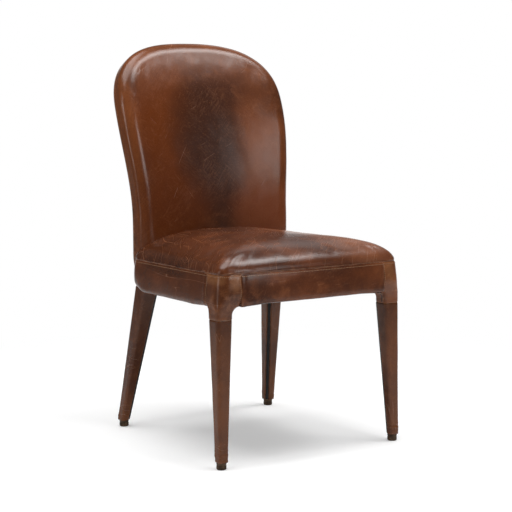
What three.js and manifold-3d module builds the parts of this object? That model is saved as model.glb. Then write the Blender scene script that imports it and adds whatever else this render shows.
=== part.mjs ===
// Parsons chair: a wood frame, webbing and foam under brown leather.
// Units are millimetres, +Z is up and the chair faces -Y.
// While it is built, y = 0 is the seat's front face at its corners. The finished chair is
// moved so that the origin lies under the middle of its bounding box.
import * as THREE from 'three';
import { mergeVertices } from 'three/addons/utils/BufferGeometryUtils.js';
import Module from 'manifold-3d';

const wasm = await Module();
wasm.setup();

// Seat
const seatSeamHeight = 455;
const skirtDepth = 73;
const seatCrown = 67;
const seatPitch = 7;
const seatFrontHalfWidth = 261;
const seatTaper = 18;
const seatDepth = 452;
const seatFrontBow = 12;
const seatFrontCornerRadius = 26;
const seatRearCornerRadius = 34;
const skirtFlare = 7;
const skirtEdgeRadius = 9;

// Back
const chairHeight = 990;
const backThickness = 62;
const backOverlap = 10;
const backRearRoll = 16;
const backFrontRoll = 34;
const backFrontRollDepth = 27;
const backHollow = 20;
const backRake = 121;
const rakeStartHeight = 500;
const waistHeight = 550;
const archHeight = 170;
const backFootInset = 25;
const waistSpread = 10;
const shoulderSpread = 21;

// Legs and glides
const glideHeight = 17;
const glideDiameter = 24;
const glideStemDiameter = 8;
const glideStemLength = 22;
const glideEdge = 2.4;
const glideGroove = 0.9;
const glideGrooveZ = 11;
const frontLegFootWidth = 24.5;
const frontLegTopWidth = 44;
const rearLegFootWidth = 26.5;
const rearLegTopWidth = 48.5;
const frontLegSetback = 3;
const frontLegToe = 6;
const frontLegToeIn = 1.2;
const rearLegSplayOut = 34;
const rearLegSplayBack = 68.5;
const legFootCornerRadius = 6;
const legTopCornerRadius = 10;
const closureStripWidth = 8;
const closureStripStart = 24;
const closureStripProud = 1.6;

// Leather
const leather = 1.4;
const patchReach = 60;
const patchDrop = 32;
const filletDrop = 25;
const skirtReturn = 18;

// Frame
const railHeight = 54;
const railThickness = 25;
const railRise = 4;
const frontPadding = 8;
const stileWidth = 42;
const frameDepth = 22;
const backEdgePad = 9;
const archDepth = 46;
const crossRailHeight = 44;
const lowerRailLift = 45;
const crestJointDrop = 30;
const tenonLength = 16;
const tenonThickness = 9;
const tenonShoulder = 7;
const blockLeg = 62;
const blockHeight = 38;
const boltDiameter = 7;
const boltHeadDiameter = 16;
const boltHeadHeight = 4;
const boltBite = 14;
const boltHeadSeat = 0.8;

// Webbing, boards and dust cover
const strapWidth = 50;
const strapThickness = 1.6;
const strapCount = 4;
const plywood = 5;
const linerBoard = 3;
const dustCover = 1;
const dustCoverInset = 14;

// Clearances
const gap = 0.3;
const facetClearance = 1.1;
const overrun = 40;

// Shares and counts that shape the curves
const archPower = 2.65;
const rakePower = 2.1;
const crownPower = 2.2;
const middleRailShare = 0.55;
const seatSpineShares = [0.4, 0.9];
const domeShares = [0.985, 0.95, 0.88, 0.76, 0.56, 0.3];
const hollowShares = [0.15, 0.42, 0.72];
const sideLevels = 8;
const archSteps = 18;
const cornerSteps = 4;
const rollSteps = 2;
const glideSides = 14;
const boltSides = 8;
const slabColumns = 12;
const slabRows = 16;

// Derived heights and widths
const seatRearHalfWidth = seatFrontHalfWidth - seatTaper;
const backFootHalfWidth = seatRearHalfWidth - backFootInset;
const waistHalfWidth = backFootHalfWidth + waistSpread;
const shoulderHalfWidth = waistHalfWidth + shoulderSpread;
const shoulderHeight = chairHeight - archHeight;
const crestJointHeight = shoulderHeight - crestJointDrop;
const lowerRailHeight = seatSeamHeight + lowerRailLift;
const middleRailHeight = THREE.MathUtils.lerp(lowerRailHeight, crestJointHeight, middleRailShare);
const backSetback = seatDepth - backOverlap;
const seatBottom = seatSeamHeight - skirtDepth;
const pitchSlope = seatPitch / seatDepth;
const backBottom = seatBottom - seatPitch;
const halfBack = backThickness / 2;
const skin = leather + gap;
const railBottom = seatBottom + railRise;
const railTop = railBottom + railHeight;
const strapLowZ = railTop + gap;
const strapHighZ = strapLowZ + strapThickness + gap;
const foamBottom = strapHighZ + strapThickness + gap;
const backStart = seatBottom - overrun;
const frontLegOuterX = seatFrontHalfWidth + skirtFlare;
const patchBottom = seatBottom - patchDrop;
const filletBottom = seatBottom - filletDrop;
const patchTopZ = seatBottom + skirtEdgeRadius;

// Layers through the back, measured rearwards from the middle of its thickness
const linerFront = halfBack - leather - facetClearance - linerBoard;
const frameRear = linerFront - gap;
const frameFront = frameRear - frameDepth;
const plyRear = frameFront - gap;
const plyFront = plyRear - plywood;
const coverSeam = halfBack - backRearRoll + gap;

const finishes = {
  leather: new THREE.MeshStandardMaterial({ color: 0x6b3f27, roughness: 0.42, metalness: 0 }),
  legLeather: new THREE.MeshStandardMaterial({ color: 0x573725, roughness: 0.5, metalness: 0 }),
  wood: new THREE.MeshStandardMaterial({ color: 0xb98c5a, roughness: 0.7, metalness: 0 }),
  foam: new THREE.MeshStandardMaterial({ color: 0xe8dfc4, roughness: 0.95, metalness: 0 }),
  webbing: new THREE.MeshStandardMaterial({ color: 0x4c4a45, roughness: 0.9, metalness: 0 }),
  board: new THREE.MeshStandardMaterial({ color: 0x9a7b55, roughness: 0.85, metalness: 0 }),
  strip: new THREE.MeshStandardMaterial({ color: 0x14110f, roughness: 0.7, metalness: 0 }),
  cloth: new THREE.MeshStandardMaterial({ color: 0x1b1a1a, roughness: 0.95, metalness: 0 }),
  bronze: new THREE.MeshStandardMaterial({ color: 0x4a3c30, roughness: 0.45, metalness: 0.8 }),
  steel: new THREE.MeshStandardMaterial({ color: 0x9b9da0, roughness: 0.35, metalness: 0.9 }),
};

const chair = new THREE.Group();

// Solids

/** Six times the signed volume of a triangle mesh. */
function signedVolume(points, faces) {
  let total = 0;
  for (let i = 0; i < faces.length; i += 3) {
    const [a, b, c] = [points[faces[i]], points[faces[i + 1]], points[faces[i + 2]]];
    total += a.dot(b.clone().cross(c));
  }
  return total;
}

/** A solid from a closed three.js geometry. */
function toSolid(geometry) {
  const bare = geometry.clone();
  bare.deleteAttribute('normal');
  bare.deleteAttribute('uv');
  const merged = mergeVertices(bare);
  return new wasm.Manifold(new wasm.Mesh({
    numProp: 3,
    vertProperties: Float32Array.from(merged.attributes.position.array),
    triVerts: Uint32Array.from(merged.index.array),
  }));
}

/** Triangles that close a ring like the rungs of a ladder, wound like the ring itself. */
function capFaces(count) {
  const faces = [];
  for (let i = 0; i < Math.floor(count / 2); i += 1) {
    const opposite = count - 1 - i;
    if (opposite - i > 2) faces.push([i, i + 1, opposite - 1]);
    if (opposite - i > 1) faces.push([i, opposite - 1, opposite]);
  }
  return faces;
}

/** A solid through a row of rings with the same number of points, closed by caps. */
function loft(rings) {
  const count = rings[0].length;
  const points = rings.flat();
  const faces = [];
  for (let r = 0; r < rings.length - 1; r += 1) {
    for (let i = 0; i < count; i += 1) {
      const a = r * count + i;
      const b = r * count + ((i + 1) % count);
      faces.push(a, b, b + count, a, b + count, a + count);
    }
  }
  const last = (rings.length - 1) * count;
  capFaces(count).forEach(([a, b, c]) => faces.push(a, c, b, last + a, last + b, last + c));
  if (signedVolume(points, faces) < 0) faces.reverse();
  const geometry = new THREE.BufferGeometry().setFromPoints(points);
  geometry.setIndex(faces);
  return toSolid(geometry);
}

/** A box geometry between two corners. */
function boxGeometry(x0, y0, z0, x1, y1, z1) {
  const geometry = new THREE.BoxGeometry(x1 - x0, y1 - y0, z1 - z0);
  geometry.translate((x0 + x1) / 2, (y0 + y1) / 2, (z0 + z1) / 2);
  return geometry;
}

/** Corners of a slab as wide and deep as the whole chair between two heights. */
function slabCorners(z0, z1) {
  const reach = seatFrontHalfWidth * 2;
  return [-reach, -reach, z0, reach, seatDepth + reach, z1];
}

const box = (...corners) => toSolid(boxGeometry(...corners));
const levels = (z0, z1) => box(...slabCorners(z0, z1));

// The seat and its frame drop a little towards the back: their heights hold at y = 0

const pitchMatrix = new THREE.Matrix4().set(1, 0, 0, 0, 0, 1, 0, 0, 0, -pitchSlope, 1, 0, 0, 0, 0, 1);

/** A seat height at a depth. */
function pitched(z, y) {
  return z - pitchSlope * y;
}

const seatSolid = (geometry) => toSolid(geometry.applyMatrix4(pitchMatrix));
const seatBox = (...corners) => seatSolid(boxGeometry(...corners));
const seatLevels = (z0, z1) => seatBox(...slabCorners(z0, z1));

/** A prism of the seat over a plan outline. */
function seatPrism(outline, z0, z1) {
  const options = { depth: z1 - z0, bevelEnabled: false };
  const geometry = new THREE.ExtrudeGeometry(new THREE.Shape(outline), options);
  geometry.translate(0, 0, z0);
  return seatSolid(geometry);
}

/** Adds a solid to the chair as one named mesh. */
function addPiece(name, solid, finish) {
  const { vertProperties, triVerts, numProp } = solid.getMesh();
  const geometry = new THREE.BufferGeometry();
  const positions = new Float32Array((vertProperties.length / numProp) * 3);
  for (let v = 0; v < positions.length / 3; v += 1) {
    positions.set(vertProperties.subarray(v * numProp, v * numProp + 3), v * 3);
  }
  geometry.setAttribute('position', new THREE.BufferAttribute(positions, 3));
  geometry.setIndex(Array.from(triVerts));
  geometry.computeVertexNormals();
  const mesh = new THREE.Mesh(geometry, finish);
  mesh.name = name;
  chair.add(mesh);
}

/** The points of a closed flat outline moved inwards along its normals. */
function insetOutline(outline, distance) {
  const turn = Math.sign(THREE.ShapeUtils.area(outline));
  return outline.map((point, i) => {
    const before = outline[(i + outline.length - 1) % outline.length];
    const after = outline[(i + 1) % outline.length];
    const along = after.clone().sub(before).normalize();
    return new THREE.Vector2(point.x - along.y * distance * turn, point.y + along.x * distance * turn);
  });
}

// Shape of the seat

/** Half of the seat's plan outline, from the front middle to the rear middle. */
function seatHalfOutline() {
  const points = [];
  const cornerX = seatFrontHalfWidth - seatFrontCornerRadius;
  const bowAt = (x) => -seatFrontBow * (1 - (x / seatFrontHalfWidth) ** 2);
  for (let i = 0; i < cornerSteps; i += 1) {
    const x = (cornerX * i) / cornerSteps;
    points.push(new THREE.Vector2(x, bowAt(x)));
  }
  const frontY = bowAt(cornerX) + seatFrontCornerRadius;
  for (let i = 0; i <= cornerSteps; i += 1) {
    const angle = (Math.PI / 2) * (i / cornerSteps);
    points.push(new THREE.Vector2(
      cornerX + seatFrontCornerRadius * Math.sin(angle),
      frontY - seatFrontCornerRadius * Math.cos(angle),
    ));
  }
  const rearX = seatRearHalfWidth - seatRearCornerRadius;
  const rearY = seatDepth - seatRearCornerRadius;
  for (let i = 1; i < cornerSteps; i += 1) {
    const share = i / cornerSteps;
    points.push(new THREE.Vector2(
      THREE.MathUtils.lerp(seatFrontHalfWidth, seatRearHalfWidth, share),
      THREE.MathUtils.lerp(frontY, rearY, share),
    ));
  }
  for (let i = 0; i <= cornerSteps; i += 1) {
    const angle = (Math.PI / 2) * (i / cornerSteps);
    points.push(new THREE.Vector2(
      rearX + seatRearCornerRadius * Math.cos(angle),
      rearY + seatRearCornerRadius * Math.sin(angle),
    ));
  }
  points.push(new THREE.Vector2(0, seatDepth));
  return points;
}

/** The seat's whole plan outline at its seam. */
function seatOutline() {
  const half = seatHalfOutline();
  const mirrored = half.slice(1, -1).reverse().map((p) => new THREE.Vector2(-p.x, p.y));
  return [...half, ...mirrored];
}

/** The seat's outer form, all its faces moved inwards by a distance. */
function seatBody(shrink) {
  const outline = seatOutline();
  const ringAt = (inset, z) => insetOutline(outline, inset + shrink).map((p) => (
    new THREE.Vector3(p.x, p.y, pitched(z, p.y))
  ));
  const rings = [];
  for (let i = 0; i <= cornerSteps; i += 1) {
    const angle = (Math.PI / 2) * (i / cornerSteps);
    const radius = skirtEdgeRadius - shrink;
    const inset = radius * (1 - Math.sin(angle)) - skirtFlare;
    rings.push(ringAt(inset, seatBottom + shrink + radius * (1 - Math.cos(angle))));
  }
  const skirtMiddle = (seatBottom + skirtEdgeRadius + seatSeamHeight) / 2;
  rings.push(ringAt(-skirtFlare / 2, skirtMiddle));
  rings.push(ringAt(0, seatSeamHeight));
  const rim = insetOutline(outline, shrink);
  const [frontShare, rearShare] = seatSpineShares;
  domeShares.forEach((share) => {
    const rise = (seatCrown - shrink) * (1 - share ** crownPower) ** (1 / crownPower);
    rings.push(rim.map((p) => {
      const spineY = THREE.MathUtils.clamp(p.y, seatDepth * frontShare, seatDepth * rearShare);
      const y = spineY + (p.y - spineY) * share;
      return new THREE.Vector3(p.x * share, y, pitched(seatSeamHeight + rise, y));
    }));
  });
  return loft(rings);
}

// Shape of the back

/** Half-width of the back at a height. */
function backHalfWidth(z) {
  if (z > shoulderHeight) {
    const share = (z - shoulderHeight) / (chairHeight - shoulderHeight);
    return shoulderHalfWidth * Math.max(0, 1 - share ** archPower) ** (1 / archPower);
  }
  const flare = THREE.MathUtils.smoothstep(z, waistHeight, shoulderHeight);
  const foot = 1 - THREE.MathUtils.smoothstep(z, seatBottom, seatSeamHeight);
  return waistHalfWidth + (shoulderHalfWidth - waistHalfWidth) * flare
    - (waistHalfWidth - backFootHalfWidth) * foot;
}

/** The back's outline seen from the front, as x and height. */
function backOutline() {
  const right = [];
  for (let i = 0; i < sideLevels; i += 1) {
    const z = THREE.MathUtils.lerp(backStart, shoulderHeight, i / sideLevels);
    right.push(new THREE.Vector2(backHalfWidth(z), z));
  }
  const arch = [];
  for (let i = 0; i <= archSteps; i += 1) {
    const angle = (Math.PI * i) / archSteps;
    const cosine = Math.cos(angle);
    const rise = Math.abs(Math.sin(angle)) ** (2 / archPower);
    const x = shoulderHalfWidth * Math.sign(cosine) * Math.abs(cosine) ** (2 / archPower);
    arch.push(new THREE.Vector2(x, shoulderHeight + (chairHeight - shoulderHeight) * rise));
  }
  const left = right.map((p) => new THREE.Vector2(-p.x, p.y)).reverse();
  return [...right, ...arch, ...left];
}

/** A point of the back from x, the height on its middle surface and the way rearwards. */
function backPoint(x, height, rearwards) {
  const span = chairHeight - rakeStartHeight;
  const share = Math.max(0, (height - rakeStartHeight) / span);
  const lean = Math.atan((backRake * rakePower * share ** (rakePower - 1)) / span);
  const hollow = backHollow * (1 - Math.min(1, Math.abs(x) / shoulderHalfWidth) ** 2);
  const y = backSetback + backRake * share ** rakePower + hollow;
  return new THREE.Vector3(x, y + rearwards * Math.cos(lean), height - rearwards * Math.sin(lean));
}

/** A closed form of the back through rings of inset and way rearwards. */
function backForm(profile) {
  const outline = backOutline();
  const spineTop = shoulderHeight;
  const ringAt = ([inset, rearwards], share = 1) => insetOutline(outline, inset).map((p) => {
    const spineZ = THREE.MathUtils.clamp(p.y, backStart + overrun, spineTop);
    return backPoint(p.x * share, spineZ + (p.y - spineZ) * share, rearwards);
  });
  const rings = [
    ...hollowShares.map((share) => ringAt(profile[0], share)),
    ...profile.map((step) => ringAt(step)),
    ...hollowShares.toReversed().map((share) => ringAt(profile.at(-1), share)),
  ];
  return loft(rings);
}

/** The back's outer form, all its faces moved inwards by a distance. */
function backBody(shrink) {
  const profile = [];
  const roll = backRearRoll - shrink;
  for (let i = 0; i <= rollSteps; i += 1) {
    const angle = (Math.PI / 2) * (i / rollSteps);
    profile.push([backRearRoll - roll * Math.sin(angle), halfBack - backRearRoll + roll * Math.cos(angle)]);
  }
  const width = backFrontRoll - shrink;
  const depth = backFrontRollDepth - shrink;
  for (let i = 0; i <= cornerSteps; i += 1) {
    const angle = (Math.PI / 2) * (i / cornerSteps);
    profile.push([
      backFrontRoll - width * Math.cos(angle),
      -(halfBack - backFrontRollDepth) - depth * Math.sin(angle),
    ]);
  }
  return backForm(profile);
}

// Shape of the legs

/** Section of the right front leg at a height: middle, half sizes and corner radius. */
function frontLegAt(z) {
  const share = THREE.MathUtils.clamp((z - glideHeight) / (patchBottom - glideHeight), 0, 1);
  const half = THREE.MathUtils.lerp(frontLegFootWidth, frontLegTopWidth, share) / 2;
  return {
    x: frontLegOuterX - half - frontLegToeIn * (1 - share),
    y: frontLegSetback - frontLegToe * (1 - share) + half,
    halfX: half,
    halfY: half,
    radius: THREE.MathUtils.lerp(legFootCornerRadius, legTopCornerRadius, share),
    z,
  };
}

/** Section of the right rear leg at a height: it splays outwards and rearwards. */
function rearLegAt(z) {
  const share = THREE.MathUtils.clamp((z - glideHeight) / (backBottom - glideHeight), 0, 1);
  const half = THREE.MathUtils.lerp(rearLegFootWidth, rearLegTopWidth, share) / 2;
  const rearFace = backPoint(backFootHalfWidth, backBottom, halfBack).y;
  return {
    x: backFootHalfWidth - rearLegTopWidth / 2 + rearLegSplayOut * (1 - share),
    y: rearFace - rearLegTopWidth / 2 + rearLegSplayBack * (1 - share),
    halfX: half,
    halfY: half,
    radius: THREE.MathUtils.lerp(legFootCornerRadius, legTopCornerRadius, share),
    z,
  };
}

/** Leg length of the small chamfer on a leg's inner corner, on a face moved inwards. */
function chamferLeg(shrink) {
  return (closureStripWidth + 2 * leather) / Math.SQRT2 - shrink * (2 - Math.SQRT2);
}

/** A ring round a right leg: three round corners and a chamfer across the inner one. */
function legRing(place, towardsMiddle, shrink) {
  const reachX = place.halfX - shrink;
  const reachY = place.halfY - shrink;
  const round = Math.max(place.radius - shrink, leather);
  const cut = chamferLeg(shrink);
  const ring = [];
  [[1, -1], [1, 1], [-1, 1], [-1, -1]].forEach(([alongX, alongY], corner) => {
    const start = (Math.PI / 2) * (corner - 1);
    if (alongX < 0 && alongY === towardsMiddle) {
      const [x, y] = [alongX * reachX, alongY * reachY];
      ring.push([x + cut * Math.sin(start), y - cut * Math.cos(start)]);
      ring.push([x - cut * Math.cos(start), y - cut * Math.sin(start)]);
      return;
    }
    for (let i = 0; i < cornerSteps; i += 1) {
      const angle = start + (Math.PI / 2) * (i / (cornerSteps - 1));
      ring.push([
        alongX * (reachX - round) + round * Math.cos(angle),
        alongY * (reachY - round) + round * Math.sin(angle),
      ]);
    }
  });
  return ring.map(([x, y]) => new THREE.Vector3(place.x + x, place.y + y, place.z));
}

/** The same ring on the chair's left or right side. */
function onSide(side, ring) {
  return ring.map((p) => new THREE.Vector3(p.x * side, p.y, p.z));
}

/** A leg-shaped solid through the sections of a leg at some heights. */
function legForm(side, sectionAt, towardsMiddle, heights, shrink) {
  return loft(heights.map((z) => onSide(side, legRing(sectionAt(z), towardsMiddle, shrink))));
}

/** The strip along a leg's inner corner, from a depth under the leather to a way outside. */
function closureForm(side, sectionAt, towardsMiddle, heights, halfWidth, depth, outside) {
  const corner = new THREE.Vector2(-1, towardsMiddle);
  const outwards = corner.clone().normalize();
  const across = new THREE.Vector2(-outwards.y, outwards.x);
  const chamfer = chamferLeg(0);
  return loft(heights.map((z) => {
    const place = sectionAt(z);
    const middle = new THREE.Vector2(
      place.x + corner.x * (place.halfX - chamfer / 2),
      place.y + corner.y * (place.halfY - chamfer / 2),
    );
    const ring = [[-1, -depth], [1, -depth], [1, outside], [-1, outside]].map(([way, out]) => {
      const p = middle.clone().addScaledVector(across, way * halfWidth).addScaledVector(outwards, out);
      return new THREE.Vector3(p.x, p.y, z);
    });
    return onSide(side, ring);
  }));
}

// Layers of the back, cut from one curved grid so that neighbours stay parallel

/** A curved slab wider and taller than the back between two ways rearwards. */
function curvedSlab(front, rear) {
  const reach = shoulderHalfWidth + overrun;
  const columns = Array.from({ length: slabColumns + 1 }, (_, i) => (
    THREE.MathUtils.lerp(-reach, reach, i / slabColumns)
  ));
  return loft(Array.from({ length: slabRows + 1 }, (_, row) => {
    const height = THREE.MathUtils.lerp(backStart - overrun, chairHeight + overrun, row / slabRows);
    return [
      ...columns.map((x) => backPoint(x, height, front)),
      ...columns.toReversed().map((x) => backPoint(x, height, rear)),
    ];
  }));
}

/** The back's outline, inset and drawn through its whole thickness. */
function outlineCutter(inset) {
  return backForm([[inset, backThickness], [inset, -backThickness]]);
}

/** A layer of the back inside its outline inset by a distance. */
function backLayer(front, rear, inset) {
  return curvedSlab(front, rear).intersect(outlineCutter(inset));
}

// Places shared by the frame's pieces, for the right side

const legTopPlace = frontLegAt(railTop);
const legInnerX = legTopPlace.x - legTopPlace.halfX + skin;
const legRearY = legTopPlace.y + legTopPlace.halfY - skin;
const postOuterX = backFootHalfWidth - backEdgePad;
const postInnerX = postOuterX - stileWidth;
const postFrontY = rearLegAt(backBottom).y - rearLegTopWidth / 2 + skin;
const postRearY = backPoint(backFootHalfWidth, railTop, frameRear).y;
const frontRailInnerY = frontPadding + railThickness;
const rearRailFront = frameRear - railThickness;
const frameMiddle = (frameFront + frameRear) / 2;
const tenonFront = frameMiddle - tenonThickness / 2;
const tenonRear = frameMiddle + tenonThickness / 2;
const blockMiddleZ = (railBottom + railTop) / 2;

/** Middle of the side rail at a depth: it runs from the leg's middle to the post's. */
function sideRailX(y) {
  const share = (y - legRearY) / (postFrontY - legRearY);
  return THREE.MathUtils.lerp(legTopPlace.x, (postOuterX + postInnerX) / 2, share);
}

/** Plan outline of a straight bar along the side rail's line. */
function sideBarOutline(y0, y1, width) {
  const half = width / 2;
  return [
    new THREE.Vector2(sideRailX(y0) - half, y0),
    new THREE.Vector2(sideRailX(y0) + half, y0),
    new THREE.Vector2(sideRailX(y1) + half, y1),
    new THREE.Vector2(sideRailX(y1) - half, y1),
  ];
}

/** A plan outline on the chair's left or right side. */
function planOnSide(side, outline) {
  return outline.map((p) => new THREE.Vector2(p.x * side, p.y));
}

// Tenons, drawn larger by a clearance where they cut their mortises

function frontRailTenon(clearance) {
  const reach = legInnerX + tenonLength + clearance;
  const middleY = frontPadding + railThickness / 2;
  const half = tenonThickness / 2 + clearance;
  const inset = tenonShoulder - clearance;
  return seatBox(-reach, middleY - half, railBottom + inset, reach, middleY + half, railTop - inset);
}

function sideRailTenon(side, clearance) {
  const inset = tenonShoulder - clearance;
  const outline = sideBarOutline(
    legRearY - tenonLength - clearance,
    postFrontY + tenonLength + clearance,
    tenonThickness + 2 * clearance,
  );
  return seatPrism(planOnSide(side, outline), railBottom + inset, railTop - inset);
}

function rearRailTenon(clearance) {
  const reach = postInnerX + tenonLength + clearance;
  const inset = tenonShoulder - clearance;
  const span = seatBox(-reach, 0, railBottom + inset, reach, chairHeight, railTop - inset);
  return curvedSlab(tenonFront - clearance, tenonRear + clearance).intersect(span);
}

function crossRailTenon(height, clearance) {
  const shoulder = tenonShoulder - clearance;
  const inset = backEdgePad + stileWidth - tenonLength - clearance;
  return backLayer(tenonFront - clearance, tenonRear + clearance, inset)
    .intersect(levels(height + shoulder, height + crossRailHeight - shoulder));
}

function crestTongue(clearance) {
  const inset = backEdgePad + tenonShoulder * 2 - clearance;
  const width = stileWidth - tenonShoulder * 4 + 2 * clearance;
  return backLayer(tenonFront - clearance, tenonRear + clearance, inset)
    .subtract(outlineCutter(inset + width))
    .intersect(levels(crestJointHeight - tenonLength - clearance, crestJointHeight + tenonShoulder));
}

// Corner blocks and their bolts

/** Plan outline of the right front corner block, notched round the leg. */
function frontBlockOutline() {
  const railInnerX = (y) => sideRailX(y) - railThickness / 2 - gap;
  const legY = legRearY + gap;
  const railY = frontRailInnerY + gap;
  return [
    new THREE.Vector2(legInnerX - gap - blockLeg, railY),
    new THREE.Vector2(legInnerX - gap, railY),
    new THREE.Vector2(legInnerX - gap, legY),
    new THREE.Vector2(railInnerX(legY), legY),
    new THREE.Vector2(railInnerX(legY + blockLeg), legY + blockLeg),
  ];
}

/** Plan outline of the right rear corner block, notched round the post. */
function rearBlockOutline() {
  const railInnerX = (y) => sideRailX(y) - railThickness / 2 - gap;
  const postY = postFrontY - gap;
  const postX = postInnerX - gap;
  const railY = (x) => backPoint(x, blockMiddleZ, rearRailFront).y - gap;
  return [
    new THREE.Vector2(postX - blockLeg, railY(postX - blockLeg)),
    new THREE.Vector2(postX, railY(postX)),
    new THREE.Vector2(postX, postY),
    new THREE.Vector2(railInnerX(postY), postY),
    new THREE.Vector2(railInnerX(postY - blockLeg), postY - blockLeg),
  ];
}

/** Middle of a block's long face, which the bolt's head rests on. */
function boltStart(outline) {
  return outline[0].clone().add(outline.at(-1)).divideScalar(2);
}

/** How far a bolt reaches: through the block to the leg's corner and a bite beyond it. */
function boltReach(outline) {
  return boltStart(outline).distanceTo(outline[2]) + boltBite;
}

/** A pin along a block's bolt line, from the block's long face towards the leg. */
function boltForm(side, outline, steps) {
  const middle = boltStart(outline);
  const along = outline[2].clone().sub(middle).normalize();
  const direction = new THREE.Vector3(along.x * side, along.y, 0);
  const profile = steps.map(([radius, way]) => new THREE.Vector2(radius, way));
  const geometry = new THREE.LatheGeometry(profile, boltSides);
  geometry.applyQuaternion(new THREE.Quaternion().setFromUnitVectors(new THREE.Vector3(0, 1, 0), direction));
  geometry.translate(middle.x * side, middle.y, pitched(blockMiddleZ, middle.y));
  return toSolid(geometry);
}

function bolt(side, outline) {
  const [shank, head] = [boltDiameter / 2, boltHeadDiameter / 2];
  const seat = -boltHeadSeat;
  return boltForm(side, outline, [
    [0, seat - boltHeadHeight], [head, seat - boltHeadHeight], [head, seat],
    [shank, seat], [shank, boltReach(outline)], [0, boltReach(outline)],
  ]);
}

function boltHole(side, outline) {
  const radius = boltDiameter / 2 + gap;
  const end = boltReach(outline) + gap;
  return boltForm(side, outline, [[0, -overrun], [radius, -overrun], [radius, end], [0, end]]);
}

// Frame

function glideHole(side, foot) {
  const radius = glideStemDiameter / 2 + gap;
  const length = glideStemLength + gap + overrun;
  const geometry = new THREE.CylinderGeometry(radius, radius, length, glideSides);
  geometry.rotateX(Math.PI / 2);
  geometry.translate(foot.x * side, foot.y, glideHeight + glideStemLength + gap - length / 2);
  return toSolid(geometry);
}

/** The wood core of a front leg, its faces moved outwards by a clearance. */
function frontLegCore(side, clearance) {
  const heights = [glideHeight + gap - clearance, patchBottom, railTop];
  const inSeat = seatBody(skin - clearance).add(levels(0, patchTopZ + clearance));
  return legForm(side, frontLegAt, 1, heights, skin - clearance).intersect(inSeat);
}

function addFrontLeg(side, name) {
  const core = frontLegCore(side, 0)
    .subtract(frontRailTenon(gap))
    .subtract(sideRailTenon(side, gap))
    .subtract(boltHole(side, frontBlockOutline()))
    .subtract(glideHole(side, frontLegAt(glideHeight)));
  addPiece(`${name}_leg`, core, finishes.wood);
}

/** The part of a rear post that lies in the seat frame. */
function postFoot(side) {
  const legTop = rearLegAt(backBottom);
  const inFrame = (z) => ({
    x: (postOuterX + postInnerX) / 2,
    y: (postFrontY + postRearY) / 2,
    halfX: stileWidth / 2 + skin,
    halfY: (postRearY - postFrontY) / 2 + skin,
    radius: legTop.radius,
    z,
  });
  const rings = [glideHeight + gap, backBottom - gap].map((z) => legRing(rearLegAt(z), -1, skin));
  [railBottom, railTop].forEach((z) => {
    const ring = legRing(inFrame(z), -1, skin);
    rings.push(ring.map((p) => p.setZ(pitched(z, p.y))));
  });
  return loft(rings.map((ring) => onSide(side, ring)));
}

function addRearPost(side, name) {
  const reach = shoulderHalfWidth + overrun;
  const half = box(Math.min(0, side * reach), 0, railTop - 2 * tenonShoulder, Math.max(0, side * reach),
    chairHeight, crestJointHeight - gap);
  const stile = backLayer(frameFront, frameRear, backEdgePad)
    .subtract(outlineCutter(backEdgePad + stileWidth))
    .intersect(half);
  const post = postFoot(side).add(stile)
    .subtract(sideRailTenon(side, gap))
    .subtract(rearRailTenon(gap))
    .subtract(crossRailTenon(lowerRailHeight, gap))
    .subtract(crossRailTenon(middleRailHeight, gap))
    .subtract(crestTongue(gap))
    .subtract(boltHole(side, rearBlockOutline()))
    .subtract(glideHole(side, rearLegAt(glideHeight)));
  addPiece(`${name}_post`, post, finishes.wood);
}

function addSeatRails() {
  const halfLength = legInnerX - gap;
  const front = seatBox(-halfLength, frontPadding, railBottom, halfLength, frontRailInnerY, railTop);
  addPiece('front_seat_rail', front.add(frontRailTenon(0)), finishes.wood);
  const span = seatBox(-postInnerX + gap, 0, railBottom, postInnerX - gap, chairHeight, railTop);
  const rear = curvedSlab(rearRailFront, frameRear).intersect(span);
  addPiece('rear_seat_rail', rear.add(rearRailTenon(0)), finishes.wood);
  [[-1, 'left'], [1, 'right']].forEach(([side, name]) => {
    const outline = planOnSide(side, sideBarOutline(legRearY + gap, postFrontY - gap, railThickness));
    const rail = seatPrism(outline, railBottom, railTop).add(sideRailTenon(side, 0));
    addPiece(`${name}_seat_rail`, rail, finishes.wood);
  });
}

function addCornerBlocks() {
  const low = blockMiddleZ - blockHeight / 2;
  [[frontBlockOutline(), 'front'], [rearBlockOutline(), 'rear']].forEach(([outline, end]) => {
    [[-1, 'left'], [1, 'right']].forEach(([side, name]) => {
      const block = seatPrism(planOnSide(side, outline), low, low + blockHeight)
        .subtract(boltHole(side, outline));
      addPiece(`${end}_${name}_corner_block`, block, finishes.wood);
      addPiece(`${end}_${name}_leg_bolt`, bolt(side, outline), finishes.steel);
    });
  });
}

function addBackFrame() {
  const crest = backLayer(frameFront, frameRear, backEdgePad)
    .subtract(outlineCutter(backEdgePad + archDepth))
    .intersect(levels(crestJointHeight, chairHeight + overrun))
    .add(crestTongue(0));
  addPiece('crest_rail', crest, finishes.wood);
  [[lowerRailHeight, 'lower'], [middleRailHeight, 'middle']].forEach(([height, name]) => {
    const rail = backLayer(frameFront, frameRear, backEdgePad + stileWidth + gap)
      .intersect(levels(height, height + crossRailHeight))
      .add(crossRailTenon(height, 0));
    addPiece(`${name}_back_rail`, rail, finishes.wood);
  });
  const above = seatLevels(foamBottom, chairHeight + overrun);
  const panel = backLayer(plyFront, plyRear, backEdgePad).intersect(above);
  addPiece('bent_back_panel', panel, finishes.board);
  const liner = backLayer(linerFront, linerFront + linerBoard, backRearRoll).intersect(above);
  addPiece('back_liner_board', liner, finishes.board);
}

// Webbing

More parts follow.
